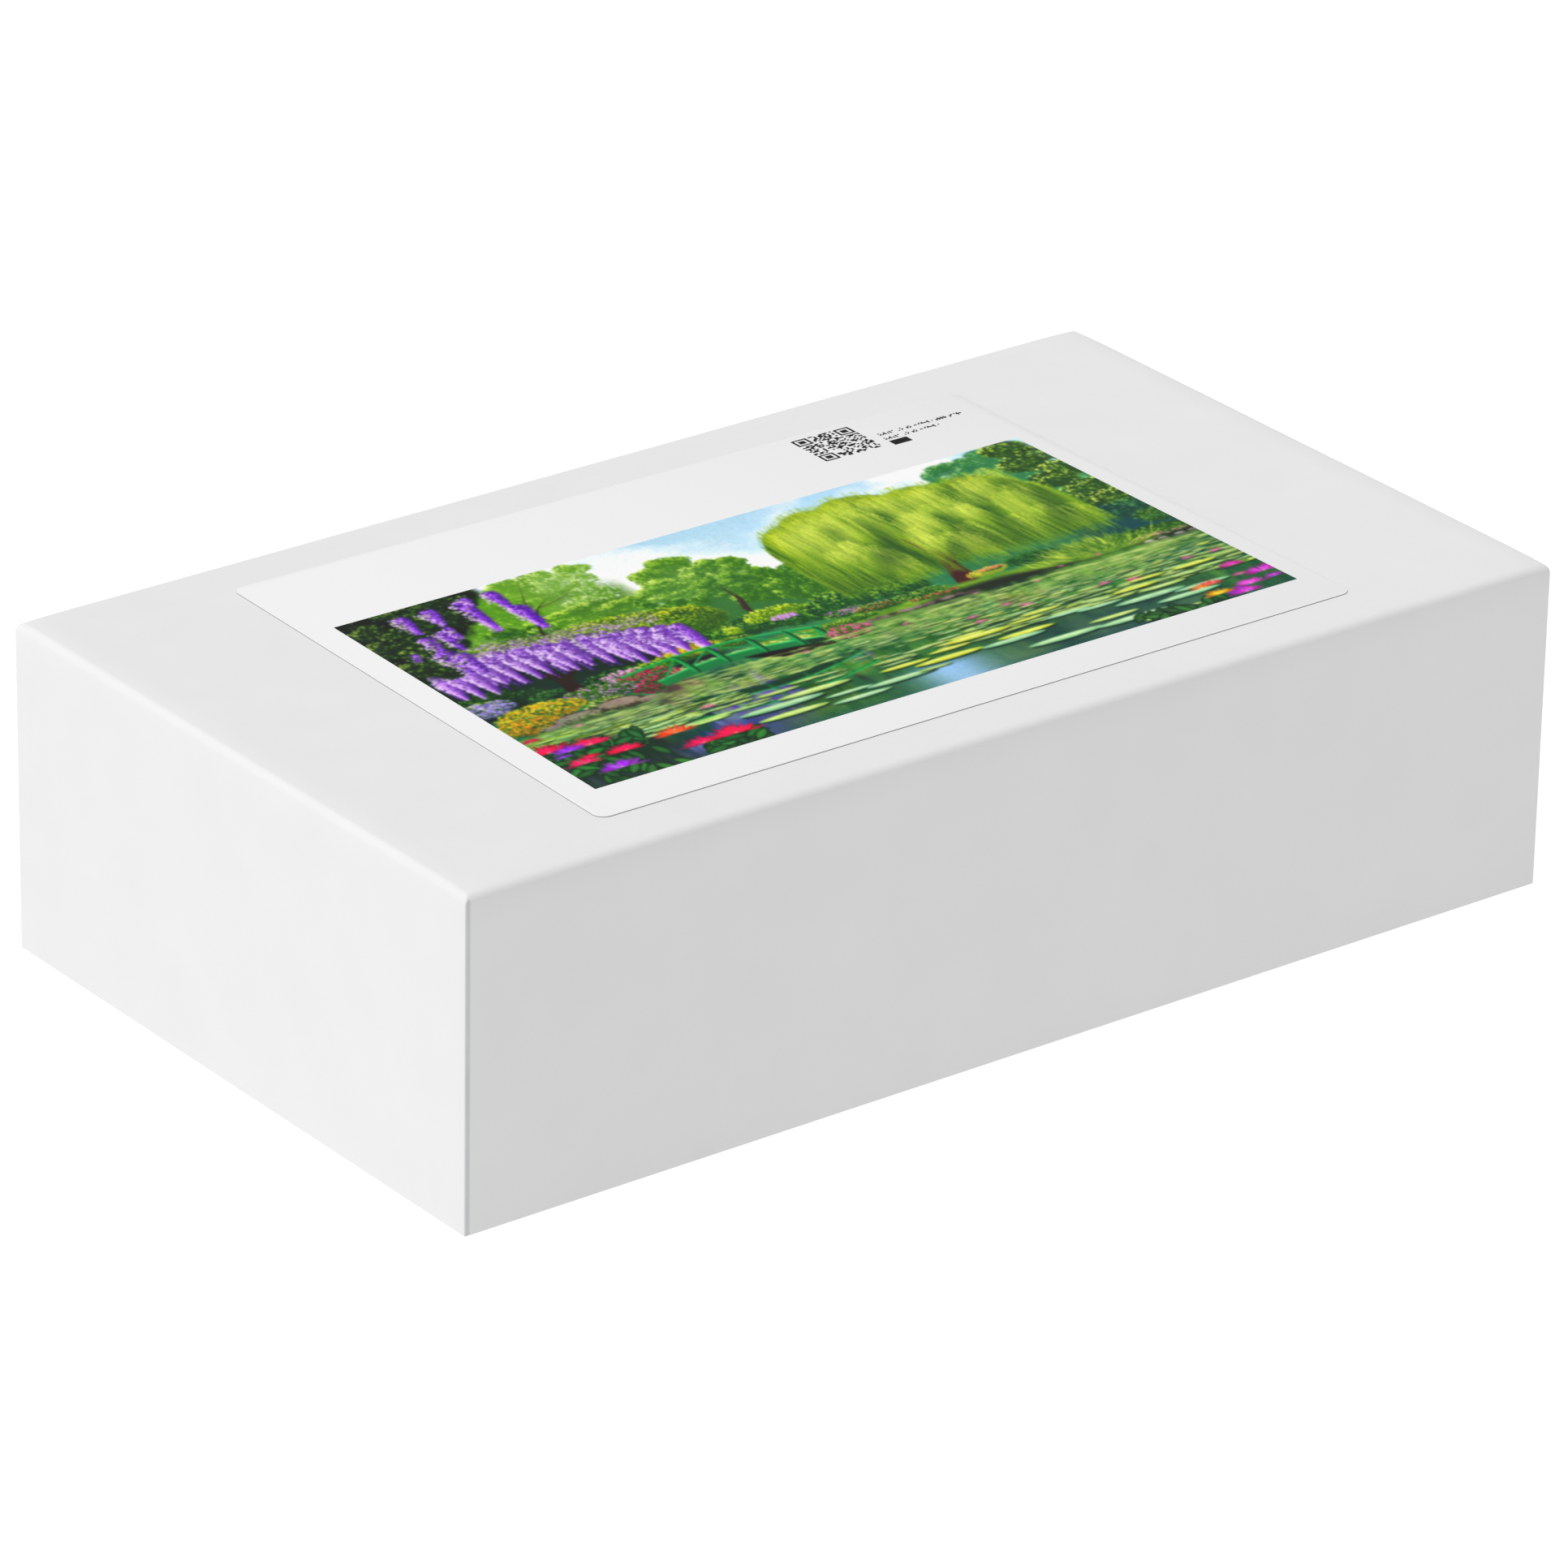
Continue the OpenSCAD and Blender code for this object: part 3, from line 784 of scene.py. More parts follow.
# the weeping willow: shaded inside, trunk, then strands hanging from each dome
domes = [(0.595, 0.27, 0.058, 0.19, 0.53), (0.64, 0.23, 0.07, 0.19, 0.53), (0.705, 0.225, 0.085, 0.2, 0.5),
         (0.785, 0.26, 0.085, 0.2, 0.52), (0.86, 0.28, 0.068, 0.2, 0.53), (0.905, 0.33, 0.036, 0.15, 0.5)]
body = np.zeros((DOWN, ACROSS), np.float32)
ragged = 0.03 * mottle(60, 2, 3)
for u, v, ru, rv, low in domes:
    top = v - rv * np.sqrt(np.clip(1 - ((U - u) / ru) ** 2, 0, 1))
    body = np.maximum(
        body, soft(ru - np.abs(U - u), 0.006) * soft(V - top - 0.02, 0.015) * soft(low - V - ragged, 0.05)
    )
streaks = mottle(150, 3, 3)
wash(body * 0.97, "#47701e")
wash(body * soft(streaks - 0.45, 0.3) * soft(0.42 - V, 0.3) * 0.8, "#9ab93a")
wash(body * soft(V - 0.3, 0.2) * 0.55, "#2c5220")
wash(body * np.exp(-((U - 0.7) / 0.03) ** 2 - ((V - 0.34) / 0.14) ** 2) * 0.9, "#143018")
wash(body * np.exp(-((U - 0.8) / 0.025) ** 2 - ((V - 0.4) / 0.1) ** 2) * 0.6, "#1c4220")
willow_bark = "#48311f"
limb(
    [(0.687, 0.59), (0.697, 0.5), (0.705, 0.44), (0.7, 0.36), (0.692, 0.3)], [6.5, 4.2, 3.4, 2.2, 1],
    willow_bark, "#7a583f"
)
limb([(0.703, 0.48), (0.72, 0.44), (0.728, 0.4)], [2.6, 1.6, 1], "#3d2a20")


def strands(u, v, ru, rv, low, count, dark, light, thin=0.42):
    """Long twigs that spring from a dome, turn over and hang, brighter near the top."""
    for k in range(count):
        side = brush.uniform(-1, 1)
        start_u = u + ru * side * 0.93
        rim = v - rv * math.sqrt(max(1 - side * side * 0.86, 0))
        start_v = rim + rv * 0.9 * brush.random() ** 2.2
        end_v = low - 0.14 * brush.random() ** 2 * (low - start_v) / 0.3
        drift = 0.006 * side + 0.003 * brush.normal()
        tone = mix(dark, light, brush.random() * 0.75 + 0.25 * (1 - side * side))
        length = end_v - start_v
        steps = max(int(length * picture_d / 1.5), 2)
        for i in range(steps):
            f = (i + 0.5) / steps
            su = start_u + drift * math.sin(f * 1.6) + 0.0015 * math.sin(f * 9 + k)
            colour = mix(tone, dark, f * f * 0.75)
            dab(
                su, start_v + length * f, length * picture_d / steps * 1.35, thin, math.pi / 2, colour,
                0.75 - 0.35 * f, True
            )


for u, v, ru, rv, low in domes:
    strands(u, v, ru, rv, low, 200, "#5a8a1e", "#d6e654")
tufts = [(brush.uniform(0.56, 0.92), brush.uniform(0.1, 0.42)) for _ in range(34)]
tufts += [
    (0.7, 0.09), (0.665, 0.12), (0.735, 0.1), (0.79, 0.13), (0.75, 0.21), (0.862, 0.14), (0.61, 0.16),
    (0.9, 0.22)
]
for u, v in sorted(tufts, key=lambda tuft: tuft[1]):
    if abs(u - 0.702) < 0.02 and v > 0.2:
        continue
    ru = 0.014 + 0.02 * brush.random()
    hang = v + 0.1 + 0.14 * brush.random()
    shade = np.exp(-((U - u - ru * 0.9) / (ru * 0.5)) ** 2) * soft(V - v, 0.05) * soft(hang - V, 0.05)
    wash(body * shade * 0.5, "#2f5a1c")
    strands(u, v + 0.03, ru, 0.05, min(hang, 0.53), 46, "#648f22", "#e9f26e", 0.45)
lobes = 0
for u, v, ru, rv in [
    (0.6, 0.2, 0.035, 0.11), (0.645, 0.12, 0.035, 0.09), (0.625, 0.33, 0.03, 0.1), (0.7, 0.1, 0.04, 0.08),
    (0.75, 0.14, 0.035, 0.09), (0.665, 0.25, 0.025, 0.1), (0.76, 0.28, 0.03, 0.11),
    (0.81, 0.14, 0.035, 0.09), (0.82, 0.3, 0.03, 0.1), (0.875, 0.2, 0.03, 0.1), (0.88, 0.35, 0.025, 0.09),
    (0.72, 0.38, 0.02, 0.07)
]:
    bump = np.exp(-((U - u) / ru) ** 2 - ((V - v) / rv) ** 2)
    lobes = lobes + bump * (0.35 - (U - u) / ru * 0.7 - (V - v) / rv * 0.7)
lobes = lobes * (0.75 + 0.5 * mottle(120, 4, 2))
wash(body * soft(lobes - 0.12, 0.45) * 0.42, "#dbe668")
wash(body * soft(0.02 - lobes, 0.35) * 0.62, "#294f1a")
for k in range(260):
    u = brush.uniform(0.55, 0.93)
    low = 0.5 + 0.04 * brush.random()
    dab(
        u, low, 4 + 3 * brush.random(), 0.4, math.pi / 2, mix("#4b7420", "#8fae3c", brush.random()), 0.6,
        True
    )

# the far bank with its bushes, flowers, rocks and the tall grass
bank = soft(V - 0.575 - 0.02 * mottle(30, 3), 0.02) * soft(0.68 - V, 0.02) * soft(U - 0.36, 0.02)
wash(bank, "#4d7d2a")
wash(bank * mottle(60, 60) * 0.8, "#9bbb43")
wash(bank * soft(V - 0.6 - 0.04 * np.sin(U * 9) ** 2, 0.02) * soft(U - 0.48, 0.02), "#2b3a22")
clump(0.787, 0.565, 0.04, 0.03, "#17401f", "#2c6a2d", "#4f8c35", 500, 0.8)
clump(0.72, 0.57, 0.03, 0.02, "#7d9430", "#b9b33e", "#e5cf62", 200, 0.8)
for u, v, ru, rv, flower in [
    (0.515, 0.57, 0.03, 0.022, "#b565c8"), (0.56, 0.585, 0.04, 0.022, "#c8553a"),
    (0.62, 0.585, 0.04, 0.025, "#86b13a"), (0.63, 0.607, 0.04, 0.012, "#b8403a"),
    (0.73, 0.562, 0.02, 0.01, "#dd7a4a"), (0.95, 0.6, 0.06, 0.03, "#86b23c"),
    (0.5, 0.61, 0.05, 0.015, "#8fae3a"), (0.95, 0.625, 0.05, 0.012, "#d87aa0"),
    (0.99, 0.53, 0.03, 0.04, "#3f7a3c")
]:
    clump(u, v, ru, rv, "#24501f", "#5c8e2e", "#a9c64c", 160, 0.8)
    for k in range(70):
        dab(
            u + ru * brush.uniform(-0.9, 0.9), v + rv * brush.uniform(-0.9, 0.5), 0.6, 0.5, 0,
            mix(flower, "#ffffff", 0.25 * brush.random()), 0.9
        )
for k in range(520):
    u = brush.normal(0.86, 0.028)
    v = 0.645 - 0.02 * brush.random()
    lean = brush.normal(0, 0.5) + (u - 0.86) * -9
    long = 6 + 6 * brush.random()
    tone = mix("#2f6420", "#c9d95c", brush.random() ** 1.2)
    du, dv = -math.sin(lean) * long / 2 / picture_w, -math.cos(lean) * long / 2 / picture_d
    dab(u + du, v + dv, long, 0.5, math.pi / 2 + lean, tone, 0.85, True)
for k in range(26):
    u = 0.49 + 0.19 * k / 26 + 0.004 * brush.normal()
    dab(u, 0.632 + 0.008 * brush.random(), 3, 1.5, 0, mix("#4e4a3c", "#8c8570", brush.random()), 0.9)
for u in (0.93, 0.95, 0.975, 0.995):
    dab(u, 0.648, 3.4, 1.7, 0, mix("#77705f", "#c9c3b4", brush.random()), 0.95)


# flower bushes and rocks on the near left bank
def bush(u, v, ru, rv, leaf_tone, flowers, count):
    clump(u, v, ru, rv, *leaf_tone, int(count * 0.9), 0.9)
    for k in range(count):
        turn, far = brush.random() * math.tau, math.sqrt(brush.random())
        du, dv = far * math.cos(turn), far * math.sin(turn)
        tone = flowers[brush.integers(len(flowers))]
        dab(
            u + ru * du, v + rv * dv, 0.9, 0.7, turn,
            mix(tone, "#14240f", max(dv, 0) * 0.55 * brush.random() + 0.15), 0.95
        )


bush_leaves = ("#264a1c", "#4f8430", "#9cbc4c")
bush(0.02, 0.545, 0.035, 0.04, bush_leaves, ["#b9a2e6", "#d8c9f5", "#8a7ad0"], 300)
bush(0.2, 0.56, 0.03, 0.022, bush_leaves, ["#d89ad8", "#f0c3e2"], 110)
bush(0.22, 0.62, 0.045, 0.065, bush_leaves, ["#d4306a", "#e05a8c", "#b02050", "#3f7228"], 420)
bush(0.15, 0.61, 0.05, 0.045, bush_leaves, ["#d9a4dc", "#c884cc", "#4f8030", "#3f7228"], 320)
bush(0.065, 0.62, 0.06, 0.045, bush_leaves, ["#f0c62a", "#f6da52", "#e2a02a", "#7e9a30"], 620)
bush(0.03, 0.665, 0.045, 0.04, bush_leaves, ["#f2cc30", "#f5b32a", "#e8862a", "#6c8a2c"], 420)
bush(0.14, 0.655, 0.03, 0.025, bush_leaves, ["#f0e6a0", "#7ba03a", "#4f8030"], 130)
for u, v, long, wide in [
    (0.155, 0.68, 13, 6.5), (0.095, 0.69, 15, 6), (0.23, 0.69, 9, 3.6), (0.265, 0.695, 7, 2.8),
    (0.19, 0.695, 7, 3), (0.055, 0.705, 8, 3)
]:
    dab(u, v, long, wide, 0, "#4b4536")
    dab(u - 0.002, v - 0.008, long * 0.86, wide * 0.6, 0, "#9c907a", 0.85)
    for k in range(50):
        du, dv = brush.uniform(-0.4, 0.4) * long / picture_w, brush.uniform(-0.3, 0.25) * wide / picture_d
        dab(u + du, v + dv, 1.2, 0.5, 0, mix("#5f5846", "#b3a88e", brush.random()), 0.5)
for k in range(330):
    u = brush.normal(0.105, 0.03)
    v = 0.7 + 0.013 * brush.normal()
    dab(u, v, 1.0, 0.5, brush.random() * 3, mix("#1f3c1a", "#8aab55", brush.random()), 0.9, True)

# water: the banks and trees upside down, dimmed and streaked, then deep green towards the front
shore = 0.645 + 0.06 * soft(0.24 - U, 0.06)
above = np.clip(((2 * shore - V) * 1.0 * DOWN).astype(int), 0, DOWN - 1)
cross = np.broadcast_to(np.arange(ACROSS), above.shape)
sway = (6 * (mottle(30, 60, 2) - 0.5) * dots_per_mm).astype(int)
mirror = canvas[above, np.clip(cross + sway, 0, ACROSS - 1)]
mirror = (
    mirror + np.roll(mirror, 5, 0) + np.roll(mirror, -5, 0) + np.roll(mirror, 11, 0)
    + np.roll(mirror, -11, 0)
) / 5
water = soft(V - shore, 0.004)
depth = soft(V - shore, 0.35)
tint = mix(paint("#1c5b40")[None, None], paint("#0f3b3c")[None, None], depth[..., None])
mirror = mirror * (0.8 - 0.3 * depth[..., None]) + tint * (0.22 + 0.4 * depth[..., None])
canvas[:] += water[..., None] * (mirror - canvas)
wash(water * soft(mottle(14, 60, 3) - 0.5, 0.1) * 0.4 * soft(0.8 - V, 0.1), "#9dbb62")
wash(water * soft(mottle(90, 5, 2) - 0.52, 0.12) * 0.35 * soft(0.93 - V, 0.1), "#6fa646")
pool = soft(V - 0.87, 0.06) * np.exp(-((U - 0.52) / 0.055) ** 2)
wash(pool, "#a9d2ee")
wash(soft(V - 0.86, 0.06) * np.exp(-((U - 0.24) / 0.06) ** 2) * 0.6, "#39407e")
wash(soft(V - 0.8, 0.1) * np.exp(-((U - 0.75) / 0.2) ** 2) * 0.5, "#1d3f58")

# the arched footbridge, its dark underside and its image in the water
bridge_left, bridge_right = 0.205, 0.465
green, green_light, green_dark = "#1f8a47", "#4fbf6c", "#0d4a2a"


def deck(u):
    """Height of the bridge's deck line over its length."""
    f = (u - bridge_left) / (bridge_right - bridge_left)
    return 0.655 - 0.04 * math.sin(math.pi * min(max(f, 0), 1)) + 0.008 * f


def rail(u):
    f = (u - bridge_left) / (bridge_right - bridge_left)
    return 0.575 - 0.03 * math.sin(math.pi * min(max(f * 0.95 + 0.05, 0), 1)) + 0.022 * f * f


def bridge(flip, cover):
    """The bridge, or with flip its image, mirrored at the water line."""
    def at(v):
        return 2 * 0.705 - v if flip else v
    for u in np.linspace(0.225, bridge_right, 330):
        dab(
            u, at(deck(u) + 0.002), 1.2, 3.6, 0,
            green_dark if u > 0.43 or flip else mix(green, green_dark, 0.25), cover
        )
        dab(u, at(deck(u) - 0.012), 1.1, 0.8, 0, green_light, cover * 0.8)
    for u in np.linspace(bridge_left - 0.01, bridge_right, 300):
        dab(u, at(rail(u)), 1.1, 1.1, 0, green, cover)
        dab(u, at(rail(u) - 0.004), 1.0, 0.45, 0, green_light, cover * 0.9)
        dab(u, at(rail(u) * 0.6 + deck(u) * 0.4), 1.0, 0.45, 0, mix(green, green_dark, 0.3), cover * 0.8)
    posts = [0.277, 0.323, 0.375, 0.422, 0.458]
    for a, b in zip([0.235] + posts, posts):
        for k in range(40):
            f = k / 40
            u = a + (b - a) * f
            v = rail(a) + (
                deck(b) - 0.012 - rail(a)
            ) * f if b > 0.35 else deck(a) - 0.012 + (rail(b) - deck(a) + 0.012) * f
            dab(u, at(v), 1.0, 0.6, 0, mix(green, green_light, 0.2), cover * 0.85)
    for u in posts:
        long = deck(u) - rail(u) + 0.03
        dab(u, at(rail(u) + long / 2 - 0.006), 2.1, long * picture_d, 0, green_dark, cover)
        dab(u - 0.0015, at(rail(u) + long / 2 - 0.006), 1.3, long * picture_d * 0.97, 0, green, cover)
        dab(
            u - 0.003, at(rail(u) + long / 2 - 0.006), 0.5, long * picture_d * 0.9, 0, green_light,
            cover * 0.8
        )


for k in range(500):
    u = brush.uniform(0.25, 0.44)
    dab(u, brush.uniform(0.6, 0.635), 1.2, 0.6, 0, mix("#7aa348", "#d3dc8c", brush.random()), 0.6)
for u in np.linspace(0.335, 0.452, 90):
    high = deck(u) + 0.01
    thick = (0.69 - high) * min((u - 0.335) / 0.05, 1)
    dab(u, high + thick / 2, 1.4, max(thick, 0.004) * picture_d, 0, "#182414", 0.85)
bridge(True, 0.3)
bridge(False, 1.0)
bush(0.485, 0.655, 0.032, 0.033, bush_leaves, ["#d85a8a", "#e88aae", "#5c8e2e"], 240)


def shore_line(u):
    """Height at which the water starts, lower on the near left bank."""
    return 0.655 if u > 0.24 else 0.715


# lily pads: small and crowded far off, large and few in front
def pad(u, v, long, tone, rim):
    thick = long * 0.11
    dab(u + 0.001, v + thick * 0.35 / picture_d, long, thick, 0, "#0e2c22", 0.7)
    dab(u, v, long, thick, 0, tone, 0.97)
    dab(u, v - thick * 0.12 / picture_d, long * 0.8, thick * 0.5, 0, rim, 0.4)
    for k in range(int(long * 0.8)):
        dab(
            u + brush.uniform(-0.35, 0.35) * long / picture_w,
            v + brush.uniform(-0.25, 0.25) * thick / picture_d, long * 0.16, 0.35, 0.1,
            mix(tone, rim, brush.random() * 1.3 - 0.3), 0.5
        )


pale, sunny, cool = "#9fc06c", "#bcca4c", "#86b98a"
rims = "#e9f2bc"
for k in range(1300):
    u, v = brush.random(), 0.665 + 0.1 * brush.random() ** 1.3
    if v > shore_line(u):
        dab(u, v, 2 + 6 * brush.random(), 0.4, 0, mix("#7da052", "#d5e08c", brush.random()), 0.8)
for k in range(760):
    near = brush.random() ** 0.8
    v = 0.685 + 0.17 * near
    u = brush.random()
    if (0.42 < u < 0.56 or 0.27 < u < 0.42 and v > 0.74) and brush.random() < 0.8:
        continue
    if v < 0.72 and u < 0.07:
        continue
    long = (2.5 + 9 * near) * (0.6 + 0.8 * brush.random())
    tone = mix(mix(pale, sunny, brush.random()), cool, 0.5 * brush.random())
    pad(u, v, long, mix(tone, "#2d5a30", 0.35 * brush.random()), rims)
front_pads = [
    (0.355, 0.86, 21, pale), (0.3, 0.885, 24, cool), (0.21, 0.86, 12, pale), (0.385, 0.91, 14, cool),
    (0.39, 0.945, 17, cool), (0.455, 0.92, 20, cool), (0.3, 0.93, 20, pale), (0.48, 0.87, 15, sunny),
    (0.535, 0.89, 20, sunny), (0.6, 0.835, 19, sunny), (0.55, 0.855, 13, sunny), (0.65, 0.88, 17, sunny),
    (0.625, 0.897, 19, cool), (0.67, 0.828, 11, sunny), (0.72, 0.852, 14, cool), (0.765, 0.862, 14, cool),
    (0.7, 0.81, 12, sunny), (0.76, 0.925, 15, pale), (0.68, 0.95, 22, cool), (0.775, 0.955, 21, cool),
    (0.86, 0.855, 15, pale), (0.83, 0.885, 21, cool), (0.9, 0.9, 17, cool), (0.87, 0.925, 19, cool),
    (0.83, 0.83, 14, sunny), (0.93, 0.8, 14, sunny), (0.86, 0.8, 12, sunny), (0.505, 0.917, 10, pale),
    (0.84, 0.985, 24, pale)
]
for u, v, long, tone in front_pads:
    pad(u, v, long, tone, rims)


# water lilies and the flowers in the two near corners
def lotus(u, v, size, petal, heart):
    """A flower seen from the side: pointed petals fanned out, the outer ones lowest and darkest."""
    size *= 0.82
    for ring, count, spread, reach in [(0, 11, 1.45, 1.0), (1, 9, 1.1, 0.86), (2, 6, 0.7, 0.7)]:
        for k in range(count):
            lean = spread * (2 * (k + 0.5) / count - 1) + 0.06 * brush.normal()
            long = size * reach * (0.85 + 0.25 * brush.random()) / 2
            du, dv = math.sin(lean) * long / picture_w, math.cos(lean) * long * 0.62 / picture_d
            tone = mix(
                mix(petal, "#400818", 0.38 - 0.19 * ring), "#ffffff", 0.14 * brush.random() + 0.04 * ring
            )
            dab(u + du / 1.0, v - dv, long * 1.15, size * 0.1, math.pi / 2 - lean * 1.1, tone, 1.0, True)
    dab(u, v - size * 0.1 / picture_d, size * 0.13, size * 0.08, 0, heart, 0.5)


for u, v in [
    (0.41, 0.695), (0.625, 0.757), (0.626, 0.785), (0.698, 0.77), (0.81, 0.778), (0.845, 0.797),
    (0.977, 0.775), (0.935, 0.772), (0.67, 0.655), (0.8, 0.645), (0.75, 0.68), (0.23, 0.805),
    (0.08, 0.725), (0.857, 0.64), (0.68, 0.743), (0.55, 0.7)
]:
    lotus(u, v, 2.2 + 2.2 * soft(v - 0.66, 0.12), "#e0709c", "#f4c2d0")
wash(soft(0.14 - U - 0.25 * (0.88 - V), 0.04) * soft(V - 0.76, 0.05) * 0.75, "#16301c")
for k in range(130):
    u = 0.125 * brush.random() + 0.0
    v = 0.79 + 0.21 * brush.random()
    if brush.random() < 0.35:
        u, v = 0.17 + 0.07 * brush.random(), 0.945 + 0.05 * brush.random()
    if brush.random() < 0.2:
        u, v = 0.78 + 0.14 * brush.random(), 0.965 + 0.035 * brush.random()
    turn = brush.random() * math.tau
    dab(u, v, 7, 3.2, turn, "#10291a", 0.95, True)
    dab(u, v, 6.2, 2.4, turn, mix("#1f4a28", "#3d7a3c", brush.random()), 0.9, True)
    dab(u, v, 5.4, 0.35, turn, "#6fa05a", 0.6, True)
red, hot, violet = "#dc1640", "#f0582c", "#8a35c8"
for u, v, size, petal in [
    (0.012, 0.735, 5, red), (0.012, 0.805, 12, red), (0.062, 0.82, 11, "#ea3050"),
    (0.033, 0.822, 9, violet), (0.018, 0.84, 5, violet), (0.088, 0.885, 10, red),
    (0.03, 0.89, 9, "#e8305e"), (0.058, 0.95, 11, violet), (0.16, 0.875, 10, hot),
    (0.17, 0.95, 10, "#c81a44"), (0.215, 0.95, 13, red), (0.045, 0.87, 6, red)
]:
    lotus(u, v, size, petal, "#ffd08a")
for u, v, size, petal in [
    (0.965, 0.86, 7, "#c83a9c"), (0.985, 0.925, 10, "#b83ab4"), (0.948, 0.965, 9, "#c244b8"),
    (0.925, 0.985, 8, violet), (0.93, 0.995, 9, "#b03ab0"), (0.91, 0.918, 7, "#d85a48"),
    (0.9, 0.97, 8, "#e8b02c"), (0.893, 0.92, 6, "#e07a30"), (0.985, 0.96, 6, "#a83ac0"),
    (0.955, 0.91, 5, "#c05a8a")
]:
    lotus(u, v, size, petal, "#ffe0a0")



def blurred(field, reach):
    """The field averaged over squares of this many millimetres, twice over."""
    span = int(reach * dots_per_mm / 2)
    for axis in (0, 1, 0, 1):
        sums = np.cumsum(np.concatenate([np.repeat(np.take(field, [0], axis), span + 1, axis), field,
                                         np.repeat(np.take(field, [-1], axis), span, axis)], axis), axis)
        long = field.shape[axis]
        field = (np.take(sums, range(2 * span + 1, 2 * span + 1 + long), axis)
                 - np.take(sums, range(long), axis)) / (2 * span + 1)
    return field


# the printer's sharpening: masses stand out from each other, then all colours are set denser
canvas += 0.4 * (blurred(canvas, 1.2) - blurred(canvas, 9))
grey_of = canvas.mean(2, keepdims=True)
canvas = grey_of + (canvas - grey_of) * 1.02
canvas = 0.44 + (canvas - 0.44) * 1.08
canvas *= (0.97 + 0.06 * mottle(300, 160, 1))[..., None]
canvas = np.clip(canvas, 0, 1)

# the picture's place on the label, read with the box's front towards the reader
picture_centre = (0.95 * MM, -9.1 * MM)
ink_rise = 0.02 * MM
cell = 2

# the paint of each point is the mean of the canvas around it
blocks = canvas[:DOWN // cell * cell, :ACROSS // cell * cell]
blocks = blocks.reshape(DOWN // cell, cell, ACROSS // cell, cell, 3).mean((1, 3))


def paint_at(across, down):
    """The canvas's colour at these shares of the picture's width and depth, smoothly between blocks."""
    rows, columns = blocks.shape[:2]
    x = np.clip(across * columns - 0.5, 0, columns - 1.001)
    y = np.clip(down * rows - 0.5, 0, rows - 1.001)
    i, j = x.astype(int), y.astype(int)
    fx, fy = (x - i)[:, None], (y - j)[:, None]
    top = blocks[j, i] * (1 - fx) + blocks[j, i + 1] * fx
    low = blocks[j + 1, i] * (1 - fx) + blocks[j + 1, i + 1] * fx
    return top * (1 - fy) + low * fy


def lay_paint(mesh, across, down):
    """Stores the picture's colour at each point of a mesh, as linear light."""
    colour = paint_at(across, down)
    light = np.where(colour <= 0.04045, colour / 12.92, ((colour + 0.055) / 1.055) ** 2.4)
    layer = mesh.color_attributes.new("paint", "FLOAT_COLOR", "POINT")
    opaque = np.concatenate([light, np.ones((len(light), 1))], 1)
    layer.data.foreach_set("color", opaque.astype(np.float32).ravel())


def printed_picture(name, varnish):
    """Four-colour litho print: the ink sinks into the coat and keeps its satin varnish. The screen
    is too fine to show, so a faint mottle of 0.4 mm stands for it."""
    material, tree, shader = new_material(name)
    ink = add_node(tree, "ShaderNodeAttribute", {"attribute_name": "paint"})
    place = add_node(tree, "ShaderNodeTexCoord")
    screen = add_node(tree, "ShaderNodeTexNoise", {"Scale": 2500, "Detail": 1}, Vector=(place, "Object"))
    gain = add_node(tree, "ShaderNodeMapRange", {"To Min": 0.9, "To Max": 1.1}, Value=screen)
    toned = add_node(tree, "ShaderNodeHueSaturation", {"Saturation": 1.04}, Color=ink, Value=gain)
    ripple = add_node(tree, "ShaderNodeTexNoise", {"Scale": 45, "Detail": 2}, Vector=(place, "Object"))
    bump = add_node(tree, "ShaderNodeBump", {"Strength": 0.06, "Distance": 0.0004}, Height=ripple)
    tree.links.new(toned.outputs[0], shader.inputs["Base Color"])
    tree.links.new(bump.outputs[0], shader.inputs["Normal"])
    shader.inputs["Roughness"].default_value = varnish
    shader.inputs["Specular IOR Level"].default_value = 0.12
    return material


litho = printed_picture("litho_picture", 0.38)
for half, side in (("left", -1), ("right", 1)):
    bpy.ops.object.select_all(action="DESELECT")
    bpy.ops.mesh.primitive_grid_add(
        x_subdivisions=ACROSS // cell // 2, y_subdivisions=DOWN // cell, size=1,
        location=(picture_centre[0] + side * picture_w * MM / 4, picture_centre[1], label_high[2] + ink_rise),
    )
    picture = bpy.context.active_object
    picture.scale = (picture_w * MM / 2, picture_d * MM, 1)
    picture.name = picture.data.name = f"label_pond_picture_{half}"
    bpy.ops.object.transform_apply(location=True, rotation=True, scale=True)
    open_mesh()
    bpy.ops.mesh.select_mode(type="EDGE")
    bpy.ops.mesh.select_all(action="DESELECT")
    bpy.ops.mesh.select_non_manifold()
    bpy.ops.mesh.extrude_region_move(TRANSFORM_OT_translate={"value": (0, 0, -ink_rise * 0.8)})
    bpy.ops.mesh.edge_face_add()
    close_mesh()
    points = np.zeros(len(picture.data.vertices) * 3)
    picture.data.vertices.foreach_get("co", points)
    points = points.reshape(-1, 3)
    lay_paint(
        picture.data,
        (points[:, 0] - picture_centre[0]) / (picture_w * MM) + 0.5,
        0.5 - (points[:, 1] - picture_centre[1]) / (picture_d * MM),
    )
    cut_to_shape(picture.data)
    picture.data.materials.append(litho)
    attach(picture, "lid")

